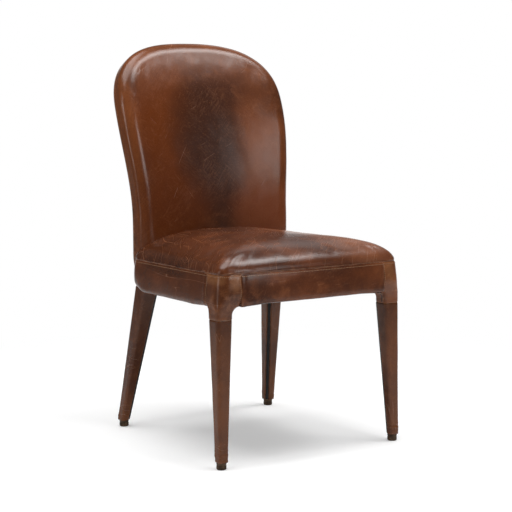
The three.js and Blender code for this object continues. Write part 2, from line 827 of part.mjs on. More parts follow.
/** A strap's side outline that steps up and down between its crossings. */
function strapOutline(start, end, crossings) {
  const half = strapWidth / 2;
  const lower = [new THREE.Vector2(start, strapLowZ)];
  crossings.forEach(([middle, high]) => {
    const z = high ? strapHighZ : strapLowZ;
    lower.push(new THREE.Vector2(middle - half - gap, z), new THREE.Vector2(middle + half + gap, z));
  });
  lower.push(new THREE.Vector2(end, strapLowZ));
  const upper = lower.map((p) => new THREE.Vector2(p.x, p.y + strapThickness)).reverse();
  return new THREE.Shape([...lower, ...upper]);
}

function addWebbing() {
  const spread = postInnerX - strapWidth / 2 - tenonShoulder;
  const firstY = frontRailInnerY + strapWidth;
  const lastY = postFrontY - strapWidth;
  const steps = Array.from({ length: strapCount }, (_, i) => i / (strapCount - 1));
  const depths = steps.map((share) => THREE.MathUtils.lerp(firstY, lastY, share));
  const widths = steps.map((share) => THREE.MathUtils.lerp(-spread, spread, share));
  const options = { depth: strapWidth, bevelEnabled: false };
  widths.forEach((x, i) => {
    const end = backPoint(Math.abs(x) + strapWidth / 2, railTop, frameRear).y - tenonShoulder;
    const crossings = depths.map((y, j) => [y, (i + j) % 2 === 0]);
    const geometry = new THREE.ExtrudeGeometry(strapOutline(frontPadding, end, crossings), options);
    geometry.rotateX(Math.PI / 2);
    geometry.rotateZ(Math.PI / 2);
    geometry.translate(x - strapWidth / 2, 0, 0);
    addPiece(`lengthwise_strap_${i + 1}`, seatSolid(geometry), finishes.webbing);
  });
  depths.forEach((y, j) => {
    const end = sideRailX(y) + railThickness / 2 - tenonShoulder;
    const crossings = widths.map((x, i) => [x, (i + j) % 2 === 1]);
    const geometry = new THREE.ExtrudeGeometry(strapOutline(-end, end, crossings), options);
    geometry.rotateX(Math.PI / 2);
    geometry.translate(0, y + strapWidth / 2, 0);
    addPiece(`crosswise_strap_${j + 1}`, seatSolid(geometry), finishes.webbing);
  });
}

// Foam

function addFoam() {
  const above = seatLevels(foamBottom, chairHeight + overrun);
  const seatInside = seatBody(skin);
  const backOutside = backBody(-gap);
  addPiece('seat_foam', seatInside.intersect(above).subtract(backOutside), finishes.foam);
  const pocket = curvedSlab(plyFront - gap, backThickness).intersect(outlineCutter(backEdgePad - gap));
  addPiece('back_foam', backBody(skin).intersect(above).subtract(pocket), finishes.foam);
  const padTop = foamBottom - gap;
  const padWidth = legInnerX - gap;
  const frontSpan = seatBox(-padWidth, -overrun, railBottom, padWidth, frontPadding - gap, padTop);
  addPiece('front_skirt_pad', seatInside.intersect(frontSpan), finishes.foam);
  [[-1, 'left'], [1, 'right']].forEach(([side, name]) => {
    const [y0, y1] = [legRearY + gap, seatDepth];
    const away = seatFrontHalfWidth + overrun;
    const face = (y) => sideRailX(y) + railThickness / 2 + gap;
    const outline = [
      new THREE.Vector2(face(y0), y0), new THREE.Vector2(away, y0),
      new THREE.Vector2(away, y1), new THREE.Vector2(face(y1), y1),
    ];
    const span = seatPrism(planOnSide(side, outline), railBottom, padTop);
    addPiece(`${name}_skirt_pad`, seatInside.intersect(span).subtract(backOutside), finishes.foam);
  });
}

// Leather of the seat

/** The corner of the seat that a front patch covers. */
function patchCorner(side, reach) {
  const inner = frontLegOuterX - reach;
  const outer = frontLegOuterX + overrun;
  return seatBox(Math.min(side * inner, side * outer), -overrun, seatBottom,
    Math.max(side * inner, side * outer), reach, seatSeamHeight - gap / 2);
}

/** The form that leads a corner patch down onto its leg in a hollow curve. */
function patchSkirt(side) {
  const corner = {
    x: frontLegOuterX - patchReach / 2,
    y: patchReach / 2,
    halfX: patchReach / 2,
    halfY: patchReach / 2,
    radius: seatFrontCornerRadius,
  };
  const rings = [legRing(frontLegAt(patchBottom), 1, 0)];
  for (let i = 0; i <= cornerSteps; i += 1) {
    const angle = (Math.PI / 2) * (i / cornerSteps);
    const z = filletBottom + filletDrop * Math.sin(angle);
    const growth = 1 - Math.cos(angle);
    const leg = frontLegAt(z);
    const place = { z };
    ['x', 'y', 'halfX', 'halfY', 'radius'].forEach((key) => {
      place[key] = THREE.MathUtils.lerp(leg[key], corner[key], growth);
    });
    rings.push(legRing(place, 1, 0));
  }
  rings.push(legRing({ ...corner, z: patchTopZ }, 1, 0));
  rings.slice(1).forEach((ring) => ring.forEach((p) => p.setZ(pitched(p.z, p.y))));
  return loft(rings.map((ring) => onSide(side, ring)));
}

function addSeatLeather() {
  const outside = seatBody(0);
  const inside = seatBody(leather);
  const backOutside = backBody(-gap);
  const shell = outside.subtract(inside).subtract(backOutside);
  const top = shell.intersect(seatLevels(seatSeamHeight + gap / 2, chairHeight));
  addPiece('seat_top_panel', top, finishes.leather);
  const opening = insetOutline(seatOutline(), skirtReturn);
  const underCut = seatPrism(opening, seatBottom - overrun, seatBottom + skin);
  const skirt = shell.intersect(seatLevels(seatBottom, seatSeamHeight - gap / 2)).subtract(underCut);
  const frontHalf = frontLegOuterX - patchReach - gap;
  const frontSpan = box(-frontHalf, -overrun, 0, frontHalf, patchReach, chairHeight);
  addPiece('front_skirt', skirt.intersect(frontSpan), finishes.leather);
  [[-1, 'left'], [1, 'right']].forEach(([side, name]) => {
    const away = side * (frontLegOuterX + overrun);
    const span = box(Math.min(0, away), patchReach + gap, 0, Math.max(0, away), chairHeight, chairHeight);
    addPiece(`${name}_skirt`, skirt.intersect(span), finishes.leather);
    const patch = outside.intersect(patchCorner(side, patchReach)).add(patchSkirt(side))
      .subtract(inside)
      .subtract(frontLegCore(side, gap));
    addPiece(`front_${name}_corner_patch`, patch, finishes.leather);
  });
}

// Leather of the back

function addBackLeather() {
  const shell = backBody(0).subtract(backBody(leather));
  const inFront = curvedSlab(-2 * overrun, coverSeam - gap);
  const behind = curvedSlab(coverSeam, 2 * overrun);
  const tailX = backFootHalfWidth - backEdgePad / 2;
  const reach = shoulderHalfWidth + overrun;
  const tails = box(tailX, 0, backBottom + gap, reach, chairHeight, foamBottom)
    .add(box(-reach, 0, backBottom + gap, -tailX, chairHeight, foamBottom));
  const kept = seatLevels(foamBottom, chairHeight + overrun).add(tails);
  addPiece('inside_back_cover', shell.intersect(inFront).intersect(kept), finishes.leather);
  const whole = levels(backBottom, chairHeight + overrun);
  addPiece('outside_back_cover', shell.intersect(behind).intersect(whole), finishes.leather);
}

// Leg covers, closure strips, glides and dust cover

function addLegCover(side, name, sectionAt, towardsMiddle, top) {
  const through = [0, glideHeight, top, top + overrun];
  const half = closureStripWidth / 2;
  const strip = closureForm(side, sectionAt, towardsMiddle, [closureStripStart, top - gap],
    half, leather, closureStripProud);
  const slot = closureForm(side, sectionAt, towardsMiddle, through, half + gap, leather * 2, overrun);
  const cover = legForm(side, sectionAt, towardsMiddle, [glideHeight + gap, top - gap], 0)
    .subtract(legForm(side, sectionAt, towardsMiddle, through, leather))
    .subtract(slot);
  addPiece(`${name}_leg_cover`, cover, finishes.legLeather);
  addPiece(`${name}_closure_strip`, strip, finishes.strip);
}

function addGlide(side, name, foot) {
  const radius = glideDiameter / 2;
  const stem = glideStemDiameter / 2;
  const top = glideHeight + glideStemLength;
  const profile = [
    [0, 0], [radius - glideEdge, 0], [radius - glideEdge / 4, glideEdge / 4], [radius, glideEdge],
    [radius, glideGrooveZ - glideGroove], [radius - glideGroove, glideGrooveZ],
    [radius, glideGrooveZ + glideGroove], [radius, glideHeight],
    [stem, glideHeight], [stem, top], [0, top],
  ].map(([x, y]) => new THREE.Vector2(x, y));
  const geometry = new THREE.LatheGeometry(profile, glideSides);
  geometry.rotateX(Math.PI / 2);
  geometry.translate(foot.x * side, foot.y, 0);
  addPiece(`${name}_glide`, toSolid(geometry), finishes.bronze);
}

function addDustCover() {
  const frontX = frontLegOuterX - patchReach - skin;
  const notchY = patchReach + skin;
  const edgeX = seatFrontHalfWidth - dustCoverInset;
  const rearEdgeX = seatRearHalfWidth - dustCoverInset;
  const legFrontY = postFrontY - 2 * skin;
  const legInner = rearLegAt(backBottom).x - rearLegTopWidth / 2 - skin;
  const right = [
    [frontX, dustCoverInset], [frontX, notchY], [edgeX, notchY],
    [rearEdgeX, legFrontY], [legInner, legFrontY], [legInner, postRearY],
  ].map(([x, y]) => new THREE.Vector2(x, y));
  const outline = [...right, ...planOnSide(-1, right).reverse()];
  const top = seatBottom - gap;
  addPiece('dust_cover', seatPrism(outline, top - dustCover, top), finishes.cloth);
}

[[-1, 'left'], [1, 'right']].forEach(([side, name]) => {
  addFrontLeg(side, `front_${name}`);
  addRearPost(side, `rear_${name}`);
  addLegCover(side, `front_${name}`, frontLegAt, 1, patchBottom);
  addLegCover(side, `rear_${name}`, rearLegAt, -1, backBottom);
  addGlide(side, `front_${name}`, frontLegAt(glideHeight));
  addGlide(side, `rear_${name}`, rearLegAt(glideHeight));
});
addSeatRails();
addCornerBlocks();
addBackFrame();
addWebbing();
addFoam();
addSeatLeather();
addBackLeather();
addDustCover();

// The origin lies on the floor under the middle of the bounding box
const middle = new THREE.Box3().setFromObject(chair).getCenter(new THREE.Vector3());
chair.position.y = -middle.y;

export default chair;
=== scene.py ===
"""Parsons chair in aged brown leather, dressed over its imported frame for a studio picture."""

import logging
import math
from bisect import bisect_right
from collections.abc import Callable, Iterable, Sequence
from dataclasses import dataclass, replace
from enum import Enum
from functools import cached_property
from typing import Any

import bmesh
import bpy
from mathutils import Matrix, Vector, kdtree, noise
from mathutils.bvhtree import BVHTree


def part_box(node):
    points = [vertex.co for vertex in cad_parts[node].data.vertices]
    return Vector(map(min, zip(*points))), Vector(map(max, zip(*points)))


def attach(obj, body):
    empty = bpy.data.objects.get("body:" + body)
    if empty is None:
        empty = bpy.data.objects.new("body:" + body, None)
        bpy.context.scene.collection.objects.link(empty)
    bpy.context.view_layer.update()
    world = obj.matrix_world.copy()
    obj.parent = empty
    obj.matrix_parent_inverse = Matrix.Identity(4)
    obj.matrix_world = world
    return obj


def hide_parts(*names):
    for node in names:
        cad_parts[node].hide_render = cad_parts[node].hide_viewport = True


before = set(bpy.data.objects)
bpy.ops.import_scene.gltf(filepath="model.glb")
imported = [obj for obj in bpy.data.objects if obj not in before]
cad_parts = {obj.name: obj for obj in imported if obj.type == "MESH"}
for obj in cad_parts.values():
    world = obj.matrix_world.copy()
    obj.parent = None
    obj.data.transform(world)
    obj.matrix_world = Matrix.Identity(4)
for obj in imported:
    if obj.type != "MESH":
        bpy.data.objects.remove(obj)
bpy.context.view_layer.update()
LOG = logging.getLogger("chair")

Colour = tuple[float, float, float, float]
Triple = tuple[float, float, float]
Pair = tuple[float, float]
Facing = tuple[Vector, Vector]
Material = bpy.types.Material
Socket = bpy.types.NodeSocket
Piece = bpy.types.Object
Mesh = bmesh.types.BMesh
Edges = list[bmesh.types.BMEdge]
Placer = Callable[[float, float], Vector]
Test = Callable[[Vector], bool]

# The front legs' covers start 3 mm in front of the seat's own zero depth
FRONT_TOE = 0.003
DEPTH_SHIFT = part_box("front_left_leg_cover")[0].y + FRONT_TOE
BODY = "root"


class Side(Enum):
    """Left or right half of the chair, seen by a person who sits in it or looks at its front."""

    LEFT = -1
    RIGHT = 1


# Colour and number helpers


def paint(red: int, green: int, blue: int) -> Colour:
    """Turns a screen colour into the linear one that a shader takes.

    Args:
        red: Red from 0 to 255.
        green: Green from 0 to 255.
        blue: Blue from 0 to 255.

    Returns:
        The linear colour with full opacity.
    """
    linear = []
    for level in (red / 255, green / 255, blue / 255):
        linear.append(level / 12.92 if level <= 0.04045 else ((level + 0.055) / 1.055) ** 2.4)
    return linear[0], linear[1], linear[2], 1.0


def blend(start: float, end: float, share: float) -> float:
    """Goes straight from start to end as share goes from 0 to 1."""
    return start + (end - start) * share


def ease(start: float, end: float, value: float) -> float:
    """Rises smoothly from 0 at start to 1 at end."""
    share = min(1.0, max(0.0, (value - start) / (end - start)))
    return share * share * (3 - 2 * share)


# Shader expressions


def operator(operation: str, reflected: bool = False) -> Callable[["Signal", "Signal | float"], "Signal"]:
    """Makes a Signal's method for one of Python's operators.

    Args:
        operation: The Math node's operation.
        reflected: True where the signal stands on the right.

    Returns:
        The method.
    """

    def method(signal: "Signal", other: "Signal | float") -> "Signal":
        """Adds the operation's Math node."""
        return signal.math(operation, *((other, signal) if reflected else (signal, other)))

    return method


class Signal:
    """A shader value that adds Math nodes where it is used in an expression."""

    __add__, __radd__ = operator("ADD"), operator("ADD", True)
    __sub__, __rsub__ = operator("SUBTRACT"), operator("SUBTRACT", True)
    __mul__, __rmul__ = operator("MULTIPLY"), operator("MULTIPLY", True)
    __truediv__, __rtruediv__ = operator("DIVIDE"), operator("DIVIDE", True)
    __pow__, __rpow__ = operator("POWER"), operator("POWER", True)

    def __init__(self, recipe: "Recipe", socket: Socket) -> None:
        """Wraps one output socket of a recipe."""
        self.recipe = recipe
        self.socket = socket

    def math(self, operation: str, *values: "Signal | float") -> "Signal":
        """Adds a Math node on values.

        Args:
            operation: The Math node's operation.
            values: What goes into its sockets.

        Returns:
            The node's result.
        """
        made = self.recipe.node("Math", {"operation": operation}, dict(enumerate(values)))
        return Signal(self.recipe, made.outputs[0])

    def __abs__(self) -> "Signal":
        """Size without the sign."""
        return self.math("ABSOLUTE", self)

    def above(self, low: float, high: float) -> "Signal":
        """Rises smoothly from 0 at low to 1 at high, or falls where low is the greater."""
        settings = {"interpolation_type": "SMOOTHSTEP", "clamp": True}
        lower, upper, first, last = (low, high, 0.0, 1.0) if low < high else (high, low, 1.0, 0.0)
        inputs = {0: self, 1: lower, 2: upper, 3: first, 4: last}
        return Signal(self.recipe, self.recipe.node("MapRange", settings, inputs).outputs[0])


class Recipe:
    """The nodes of one material or of the world."""

    def __init__(self, name: str, world: bool = False) -> None:
        """Starts an empty material, or an empty world whose place is the way a ray goes."""
        owners = bpy.data.worlds if world else bpy.data.materials
        self.material = owners.new(name)
        self.material.use_nodes = True
        self.tree = self.material.node_tree
        self.tree.nodes.clear()
        self.place = self.node("TexCoord").outputs["Generated" if world else "Object"]

    def node(
        self,
        kind: str,
        settings: dict[str, Any] | None = None,
        inputs: dict[str | int, Any] | None = None,
    ) -> bpy.types.Node:
        """Adds any node.

        Args:
            kind: The node's type after "ShaderNode".
            settings: Its properties, set first.
            inputs: Values, links or signals for its sockets, by name or number.

        Returns:
            The new node.
        """
        made = self.tree.nodes.new(f"ShaderNode{kind}")
        for key, value in (settings or {}).items():
            setattr(made, key, value)
        for key, value in (inputs or {}).items():
            socket = made.inputs[key]
            if isinstance(value, Signal):
                self.tree.links.new(value.socket, socket)
            elif isinstance(value, Socket):
                self.tree.links.new(value, socket)
            else:
                socket.default_value = value
        return made

    def moved(
        self,
        scale: Sequence[float] = (1, 1, 1),
        turn: Sequence[float] = (0, 0, 0),
        shift: Sequence[float] = (0, 0, 0),
    ) -> Socket:
        """Object coordinates turned, then stretched.

        Args:
            scale: Stretch along each axis.
            turn: Rotation in degrees.
            shift: Move before the turn.

        Returns:
            The vector socket.
        """
        angles = [math.radians(angle) for angle in turn]
        turned = self.node("Mapping", {"vector_type": "POINT"}, {0: self.place, 1: shift, 2: angles})
        inputs = {0: turned.outputs[0], 1: scale}
        return self.node("VectorMath", {"operation": "MULTIPLY"}, inputs).outputs[0]

    def noise(
        self,
        scale: float,
        detail: float = 3.0,
        rough: float = 0.55,
        warp: float = 0.0,
        place: Socket | None = None,
    ) -> Signal:
        """A noise value about 0.5.

        Args:
            scale: Features in a metre.
            detail: Octaves.
            rough: Weight of the finer octaves.
            warp: Distortion.
            place: Coordinates, or the object's own.

        Returns:
            The value.
        """
        inputs = {"Vector": place or self.place, "Scale": scale, "Detail": detail}
        inputs |= {"Roughness": rough, "Distortion": warp}
        made = self.node("TexNoise", {"noise_dimensions": "3D"}, inputs)
        return Signal(self, made.outputs[0])

    def cells(self, scale: float, feature: str = "F1", place: Socket | None = None) -> Signal:
        """Distance in a Voronoi pattern.

        Args:
            scale: Cells in a metre.
            feature: The Voronoi feature.
            place: Coordinates, or the object's own.

        Returns:
            The distance.
        """
        inputs = {"Vector": place or self.place, "Scale": scale}
        made = self.node("TexVoronoi", {"feature": feature}, inputs)
        return Signal(self, made.outputs[0])

    def mix(self, share: Signal | float, first: Any, second: Any, how: str = "MIX") -> Socket:
        """Mixes two colours.

        Args:
            share: How much of the second.
            first: First colour.
            second: Second colour.
            how: The blend type.

        Returns:
            The colour socket.
        """
        settings = {"data_type": "RGBA", "blend_type": how, "clamp_factor": True}
        return self.node("Mix", settings, {0: share, 6: first, 7: second}).outputs[2]

    def attribute(self, name: str) -> Signal:
        """A number that the piece's own mesh carries."""
        made = self.node("Attribute", {"attribute_type": "GEOMETRY", "attribute_name": name})
        return Signal(self, made.outputs["Fac"])

    def axis(self, name: str, place: Socket | None = None) -> Signal:
        """One axis, X, Y or Z, of the given or the object's own coordinates."""
        made = self.node("SeparateXYZ", None, {0: place or self.place})
        return Signal(self, made.outputs[name])

    def chance(self, number: Signal) -> Signal:
        """An even random value from 0 to 1 for a number."""
        made = self.node("TexWhiteNoise", {"noise_dimensions": "1D"}, {"W": number})
        return Signal(self, made.outputs["Value"])

    def joined(self, first: Signal, second: Signal) -> Socket:
        """A vector of two numbers and a zero."""
        return self.node("CombineXYZ", None, {0: first, 1: second}).outputs[0]

    def rays(self) -> tuple[Signal, Signal]:
        """1 for a ray from the camera, and 1 for a reflected or refracted one."""
        path = self.node("LightPath")
        seen, glossy, through = (
            Signal(self, path.outputs[f"Is {kind} Ray"]) for kind in ("Camera", "Glossy", "Transmission")
        )
        return seen, seen.math("MAXIMUM", glossy, through)

    def bump(self, height: Signal, depth: float, strength: float = 1.0) -> Socket:
        """A bumped normal.

        Args:
            height: Height from 0 to 1.
            depth: Height of the bump in metres.
            strength: Share of it that shows.

        Returns:
            The normal socket.
        """
        made = self.node("Bump", None, {"Height": height, "Distance": depth, "Strength": strength})
        return made.outputs[0]

    def surface(self, colour: Socket, rough: Signal, normal: Socket, **steady: float) -> Material:
        """Ends the material in one Principled shader.

        Args:
            colour: Base colour.
            rough: Roughness.
            normal: Bumped normal.
            steady: Other sockets' plain numbers, by name with _ for a space.

        Returns:
            The finished material.
        """
        inputs = {"Base Color": colour, "Roughness": rough, "Normal": normal}
        inputs |= {key.replace("_", " "): value for key, value in steady.items()}
        shader = self.node("BsdfPrincipled", None, inputs)
        self.node("OutputMaterial", None, {"Surface": shader.outputs[0]})
        return self.material


# Finishes


@dataclass(frozen=True)
class ToneAndPaintedLightArea:
    """A soft oval area painted in another colour: the hide's own tone in most, painted shade and painted
    sheen in some.
    """

    centre: Triple
    reach: Triple
    colour: Colour
    strength: float


@dataclass(frozen=True)
class Strokes:
    """A family of thin lines that run roughly one way over the leather."""

    turn: Triple
    scale: Triple
    width: float = 0.015
    chance: float = 0.50
    patch: float = 8.0
    weight: float = 1.0


@dataclass(frozen=True)
class Scores:
    """A family of long scratches side by side, each with its own place and length."""

    turn: Triple
    across: str
    spacing: float
    width: float = 0.0008
    length: float = 0.05
    sway: float = 0.05
    chance: float = 0.56
    weight: float = 1.0


SEAT_STROKES = (
    Strokes((0, 0, -22), (4, 30, 3), 0.008, 0.58, 6.0, 0.35),
    Strokes((20, 35, 10), (9, 9, 9), 0.005, 0.54, 8.0, 0.35),
    Strokes((0, 0, -38), (14, 150, 8), 0.045, 0.50, 12.0, 0.22),
)
SEAT_SCORES = (
    Scores((0, 0, -50), "Y", 0.013, 0.0006, 0.085, 0.16, 0.53, 0.6),
    Scores((0, 0, -60), "Y", 0.024, 0.0007, 0.095, 0.22, 0.54, 0.8),
    Scores((0, 0, -36), "Y", 0.020, 0.0006, 0.060, 0.18, 0.56, 0.5),
    Scores((0, 0, 38), "Y", 0.045, 0.0006, 0.040, 0.12, 0.60, 0.4),
)
BACK_STROKES = (
    Strokes((0, 50, 0), (26, 24, 200), 0.060, 0.46, 16.0, 0.20),
    Strokes((0, -40, 0), (28, 24, 220), 0.060, 0.48, 18.0, 0.18),
)
BACK_SCORES = (
    Scores((0, 62, 0), "Z", 0.036, 0.0008, 0.050, 0.10, 0.60, 0.8),
    Scores((0, 30, 0), "Z", 0.048, 0.0007, 0.045, 0.10, 0.60, 0.7),
    Scores((0, -48, 0), "Z", 0.060, 0.0007, 0.040, 0.08, 0.62, 0.6),
)
SIDE_STROKES = (
    Strokes((0, 0, 0), (6, 6, 30), 0.008, 0.50, 8.0, 0.55),
    Strokes((10, 14, 0), (8, 8, 42), 0.008, 0.52, 9.0, 0.45),
    Strokes((25, 40, 0), (12, 12, 26), 0.006, 0.54, 12.0, 0.4),
    Strokes((40, 30, 0), (24, 24, 190), 0.050, 0.50, 16.0, 0.20),
)
SIDE_SCORES = (
    Scores((0, 4, 0), "Z", 0.012, 0.0006, 0.040, 0.05, 0.58, 0.6),
    Scores((3, 62, 0), "Z", 0.050, 0.0007, 0.022, 0.04, 0.60, 0.6),
)
LEG_STROKES = (
    Strokes((6, 8, 0), (40, 40, 6), 0.012, 0.54, 14.0, 0.6),
    Strokes((0, 0, 0), (16, 16, 60), 0.012, 0.56, 16.0, 0.5),
    Strokes((30, 50, 0), (28, 28, 180), 0.050, 0.50, 20.0, 0.18),
)


@dataclass(frozen=True)
class Leather:
    """Waxed pull-up leather with mottled colour, scratches, worn edges, fine grain, and painted shade in its
    grooves.
    """

    name: str
    seed: float = 0.0
    strokes: tuple[Strokes, ...] = SIDE_STROKES
    scores: tuple[Scores, ...] = SIDE_SCORES
    dark: Colour = paint(60, 29, 14)
    middle: Colour = paint(92, 48, 25)
    light: Colour = paint(122, 70, 40)
    scuff: Colour = paint(158, 102, 68)
    worn: Colour = paint(140, 92, 60)
    scratches: float = 0.5
    contrast: float = 1.0
    roughness: float = 0.22
    areas: tuple[ToneAndPaintedLightArea, ...] = ()

    def area_mask(self, recipe: Recipe, area: ToneAndPaintedLightArea) -> Signal:
        """Falls from 1 at an area's centre to 0 at its ragged edge."""
        total: Signal | float = 0.0
        for name, middle, reach in zip("XYZ", area.centre, area.reach):
            if reach > 0:
                away = (recipe.axis(name) - middle) / reach
                total = away * away + total
        ragged = total + (recipe.noise(9.0, 3.0) - 0.5) * 0.9
        return ragged.above(1.15, 0.0) * area.strength

    def scratch_mask(self, recipe: Recipe) -> Signal:
        """Thin curved lines that come and go."""
        total: Signal | float = 0.0
        for index, kind in enumerate(self.strokes):
            shift = (index * 3.7, index * 1.9, index * 5.3)
            lines = recipe.noise(1.0, 1.2, 0.4, 0.2, recipe.moved(kind.scale, kind.turn, shift))
            gate = recipe.noise(kind.patch, 2.0, 0.5, 0.0, recipe.moved(shift=shift))
            line = abs(lines - 0.5).above(kind.width, 0.0) * gate.above(kind.chance, kind.chance + 0.12)
            total = line * kind.weight + total
        for index, kind in enumerate(self.scores):
            turned = recipe.moved(turn=kind.turn, shift=(index * 1.3, index * 2.1, index * 0.7))
            sway = (recipe.noise(3.2, 1.0, 0.5, 0.0, turned) - 0.5) * kind.sway
            lane = (recipe.axis(kind.across, turned) + sway) / kind.spacing
            number = lane.math("FLOOR", lane)
            middle = recipe.chance(number) * 0.7 + 0.15
            half = kind.width / kind.spacing
            along = recipe.axis("X", turned) / kind.length
            gate = recipe.noise(1.0, 1.0, 0.5, 0.0, recipe.joined(along, number * 7.31))
            strength = gate.above(kind.chance, kind.chance + 0.10) * kind.weight
            total = abs(lane - number - middle).above(half, 0.0) * strength + total
        return total.math("MINIMUM", total, 1.0)

    def material(self) -> Material:
        """The finished material."""
        recipe = Recipe(self.name)
        areas = [(area.colour, self.area_mask(recipe, area)) for area in self.areas]
        recipe.place = recipe.moved(shift=(self.seed * 1.7, self.seed * 0.9, self.seed * 2.3))
        contrast = self.contrast
        broad = recipe.noise(5.0, 3.0, 0.5, 0.3)
        mottle = recipe.noise(24.0, 5.0, 0.62, 0.5)
        speckle = recipe.noise(300.0, 3.0, 0.7)
        grain = recipe.cells(950.0)
        fold = recipe.attribute("fold")
        colour = recipe.mix(broad.above(0.36, 0.62), self.dark, self.middle)
        colour = recipe.mix(mottle.above(0.48, 0.80) * (0.7 * contrast), colour, self.light)
        colour = recipe.mix(mottle.above(0.48, 0.25) * (0.5 * contrast), colour, self.dark)
        # Areas mix in the hide's own tones, and on the seat and skirts painted shade and a painted sheen.
        for area_colour, mask in areas:
            colour = recipe.mix(mask, colour, area_colour)
        scratch = self.scratch_mask(recipe)
        colour = recipe.mix(scratch * self.scratches, colour, self.scuff)
        colour = recipe.mix(speckle.above(0.5, 0.8) * 0.4, colour, self.light)
        colour = recipe.mix(speckle.above(0.48, 0.22) * 0.5, colour, self.dark)
        rubbed = fold.above(0.10, 0.75) * mottle.above(0.34, 0.60) * 0.75
        colour = recipe.mix(rubbed, colour, self.worn)
        # Painted shade: concave folds, creases and seam grooves are darkened.
        colour = recipe.mix(fold.above(-0.08, -0.6) * 0.65, colour, paint(34, 17, 10))
        rough = mottle * 0.06 + scratch * 0.10 + speckle * 0.04 + rubbed * 0.12 + (self.roughness - 0.05)
        height = grain * 0.16 + speckle * 0.22 + mottle * 0.8 - scratch * 0.35
        return recipe.surface(colour, rough, recipe.bump(height, 0.0006, 0.5), Specular_IOR_Level=0.30)


@dataclass(frozen=True)
class Timber:
    """Pale frame wood with its grain along one axis."""

    name: str
    light: Colour = paint(206, 172, 126)
    dark: Colour = paint(160, 120, 78)

    def material(self) -> Material:
        """The finished material."""
        recipe = Recipe(self.name)
        rings = recipe.noise(1.0, 4.0, 0.6, 1.2, recipe.moved((60, 60, 5)))
        pores = recipe.noise(1.0, 2.0, 0.6, 0.0, recipe.moved((900, 900, 40)))
        colour = recipe.mix(rings.above(0.3, 0.7), self.dark, self.light)
        colour = recipe.mix(pores.above(0.6, 0.75) * 0.4, colour, self.dark)
        return recipe.surface(colour, 0.6 + pores * 0.15, recipe.bump(rings + pores, 0.0003, 0.5))


@dataclass(frozen=True)
class Pressed:
    """Board or cloth with a fine even texture."""

    name: str
    light: Colour
    dark: Colour
    scale: float
    roughness: float
    metallic: float = 0.0

    def material(self) -> Material:
        """The finished material."""
        recipe = Recipe(self.name)
        fibres = recipe.noise(self.scale, 4.0, 0.65, 0.2, recipe.moved())
        broad = recipe.noise(14.0, 2.0)
        colour = recipe.mix(fibres.above(0.3, 0.7), self.dark, self.light)
        colour = recipe.mix(broad * 0.4, colour, self.dark)
        rough = fibres * 0.2 + (self.roughness - 0.1)
        return recipe.surface(colour, rough, recipe.bump(fibres, 0.0003, 0.5), Metallic=self.metallic)


@dataclass(frozen=True)
class Woven:
    """Plain weave seen as small crossing threads."""

    name: str
    light: Colour
    dark: Colour
    threads: float = 900.0

    def material(self) -> Material:
        """The finished material."""
        recipe = Recipe(self.name)
        across, along = (recipe.axis(name) * (self.threads * math.tau / 2) for name in "XY")
        weave = across.math("SINE", across) * along.math("SINE", along) * 0.5 + 0.5
        fuzz = recipe.noise(700.0, 3.0)
        colour = recipe.mix(weave * 0.7 + fuzz * 0.3, self.dark, self.light)
        return recipe.surface(colour, 0.85 + fuzz * 0.1, recipe.bump(weave + fuzz * 0.5, 0.0004, 0.7))


HONEY = paint(88, 38, 4)
GOLDEN = paint(124, 66, 28)
CHESTNUT = paint(128, 72, 38)
BURNT = paint(46, 21, 8)
# Painted shade, laid over the seat's left edge and over the left skirt.
PAINTED_SHADE = paint(50, 26, 14)
# Painted sheen: a paler tone for the lamps' reflection on the seat's right part.
PAINTED_SHEEN = paint(132, 82, 56)
TAN = paint(146, 100, 66)
RED_BROWN = paint(108, 53, 25)

BACK_AREAS = (
    ToneAndPaintedLightArea((-0.12, 0, 0.66), (0.15, 0, 0.30), HONEY, 0.9),
    ToneAndPaintedLightArea((0.0, 0, 1.0), (0, 0, 0.13), CHESTNUT, 0.35),
    ToneAndPaintedLightArea((0.16, 0, 0.68), (0.10, 0, 0.26), GOLDEN, 0.45),
    ToneAndPaintedLightArea((0.14, 0, 0.54), (0.12, 0, 0.12), RED_BROWN, 0.7),
    ToneAndPaintedLightArea((-0.25, 0, 0.70), (0.045, 0, 0.40), CHESTNUT, 0.4),
    ToneAndPaintedLightArea((0.0, 0, 0.75), (0.13, 0, 0.19), BURNT, 0.9),
)
# Painted sheen over the right part of the seat top, and painted shade along its left edge.
SEAT_PAINTED_LIGHT = (
    ToneAndPaintedLightArea((0.20, -0.10, 0), (0.17, 0.26, 0), PAINTED_SHEEN, 0.75),
    ToneAndPaintedLightArea((-0.24, 0.0, 0), (0.06, 0.22, 0), PAINTED_SHADE, 0.4),
)
CORNER_AREAS = (
    ToneAndPaintedLightArea((-0.224, 0, 0.440), (0.018, 0, 0.030), TAN, 0.38),
    ToneAndPaintedLightArea((-0.262, 0, 0.445), (0.016, 0, 0.016), TAN, 0.35),
    ToneAndPaintedLightArea((0.228, 0, 0.432), (0.020, 0, 0.036), TAN, 0.3),
)
# Painted shade: the left skirt darker, most of all in a band just under the seam.
SKIRT_PAINTED_SHADE = (
    ToneAndPaintedLightArea((-0.30, 0, 0), (0.07, 0, 0), PAINTED_SHADE, 0.6),
    ToneAndPaintedLightArea((-0.28, -0.02, 0.438), (0.09, 0.15, 0.018), PAINTED_SHADE, 0.6),
)


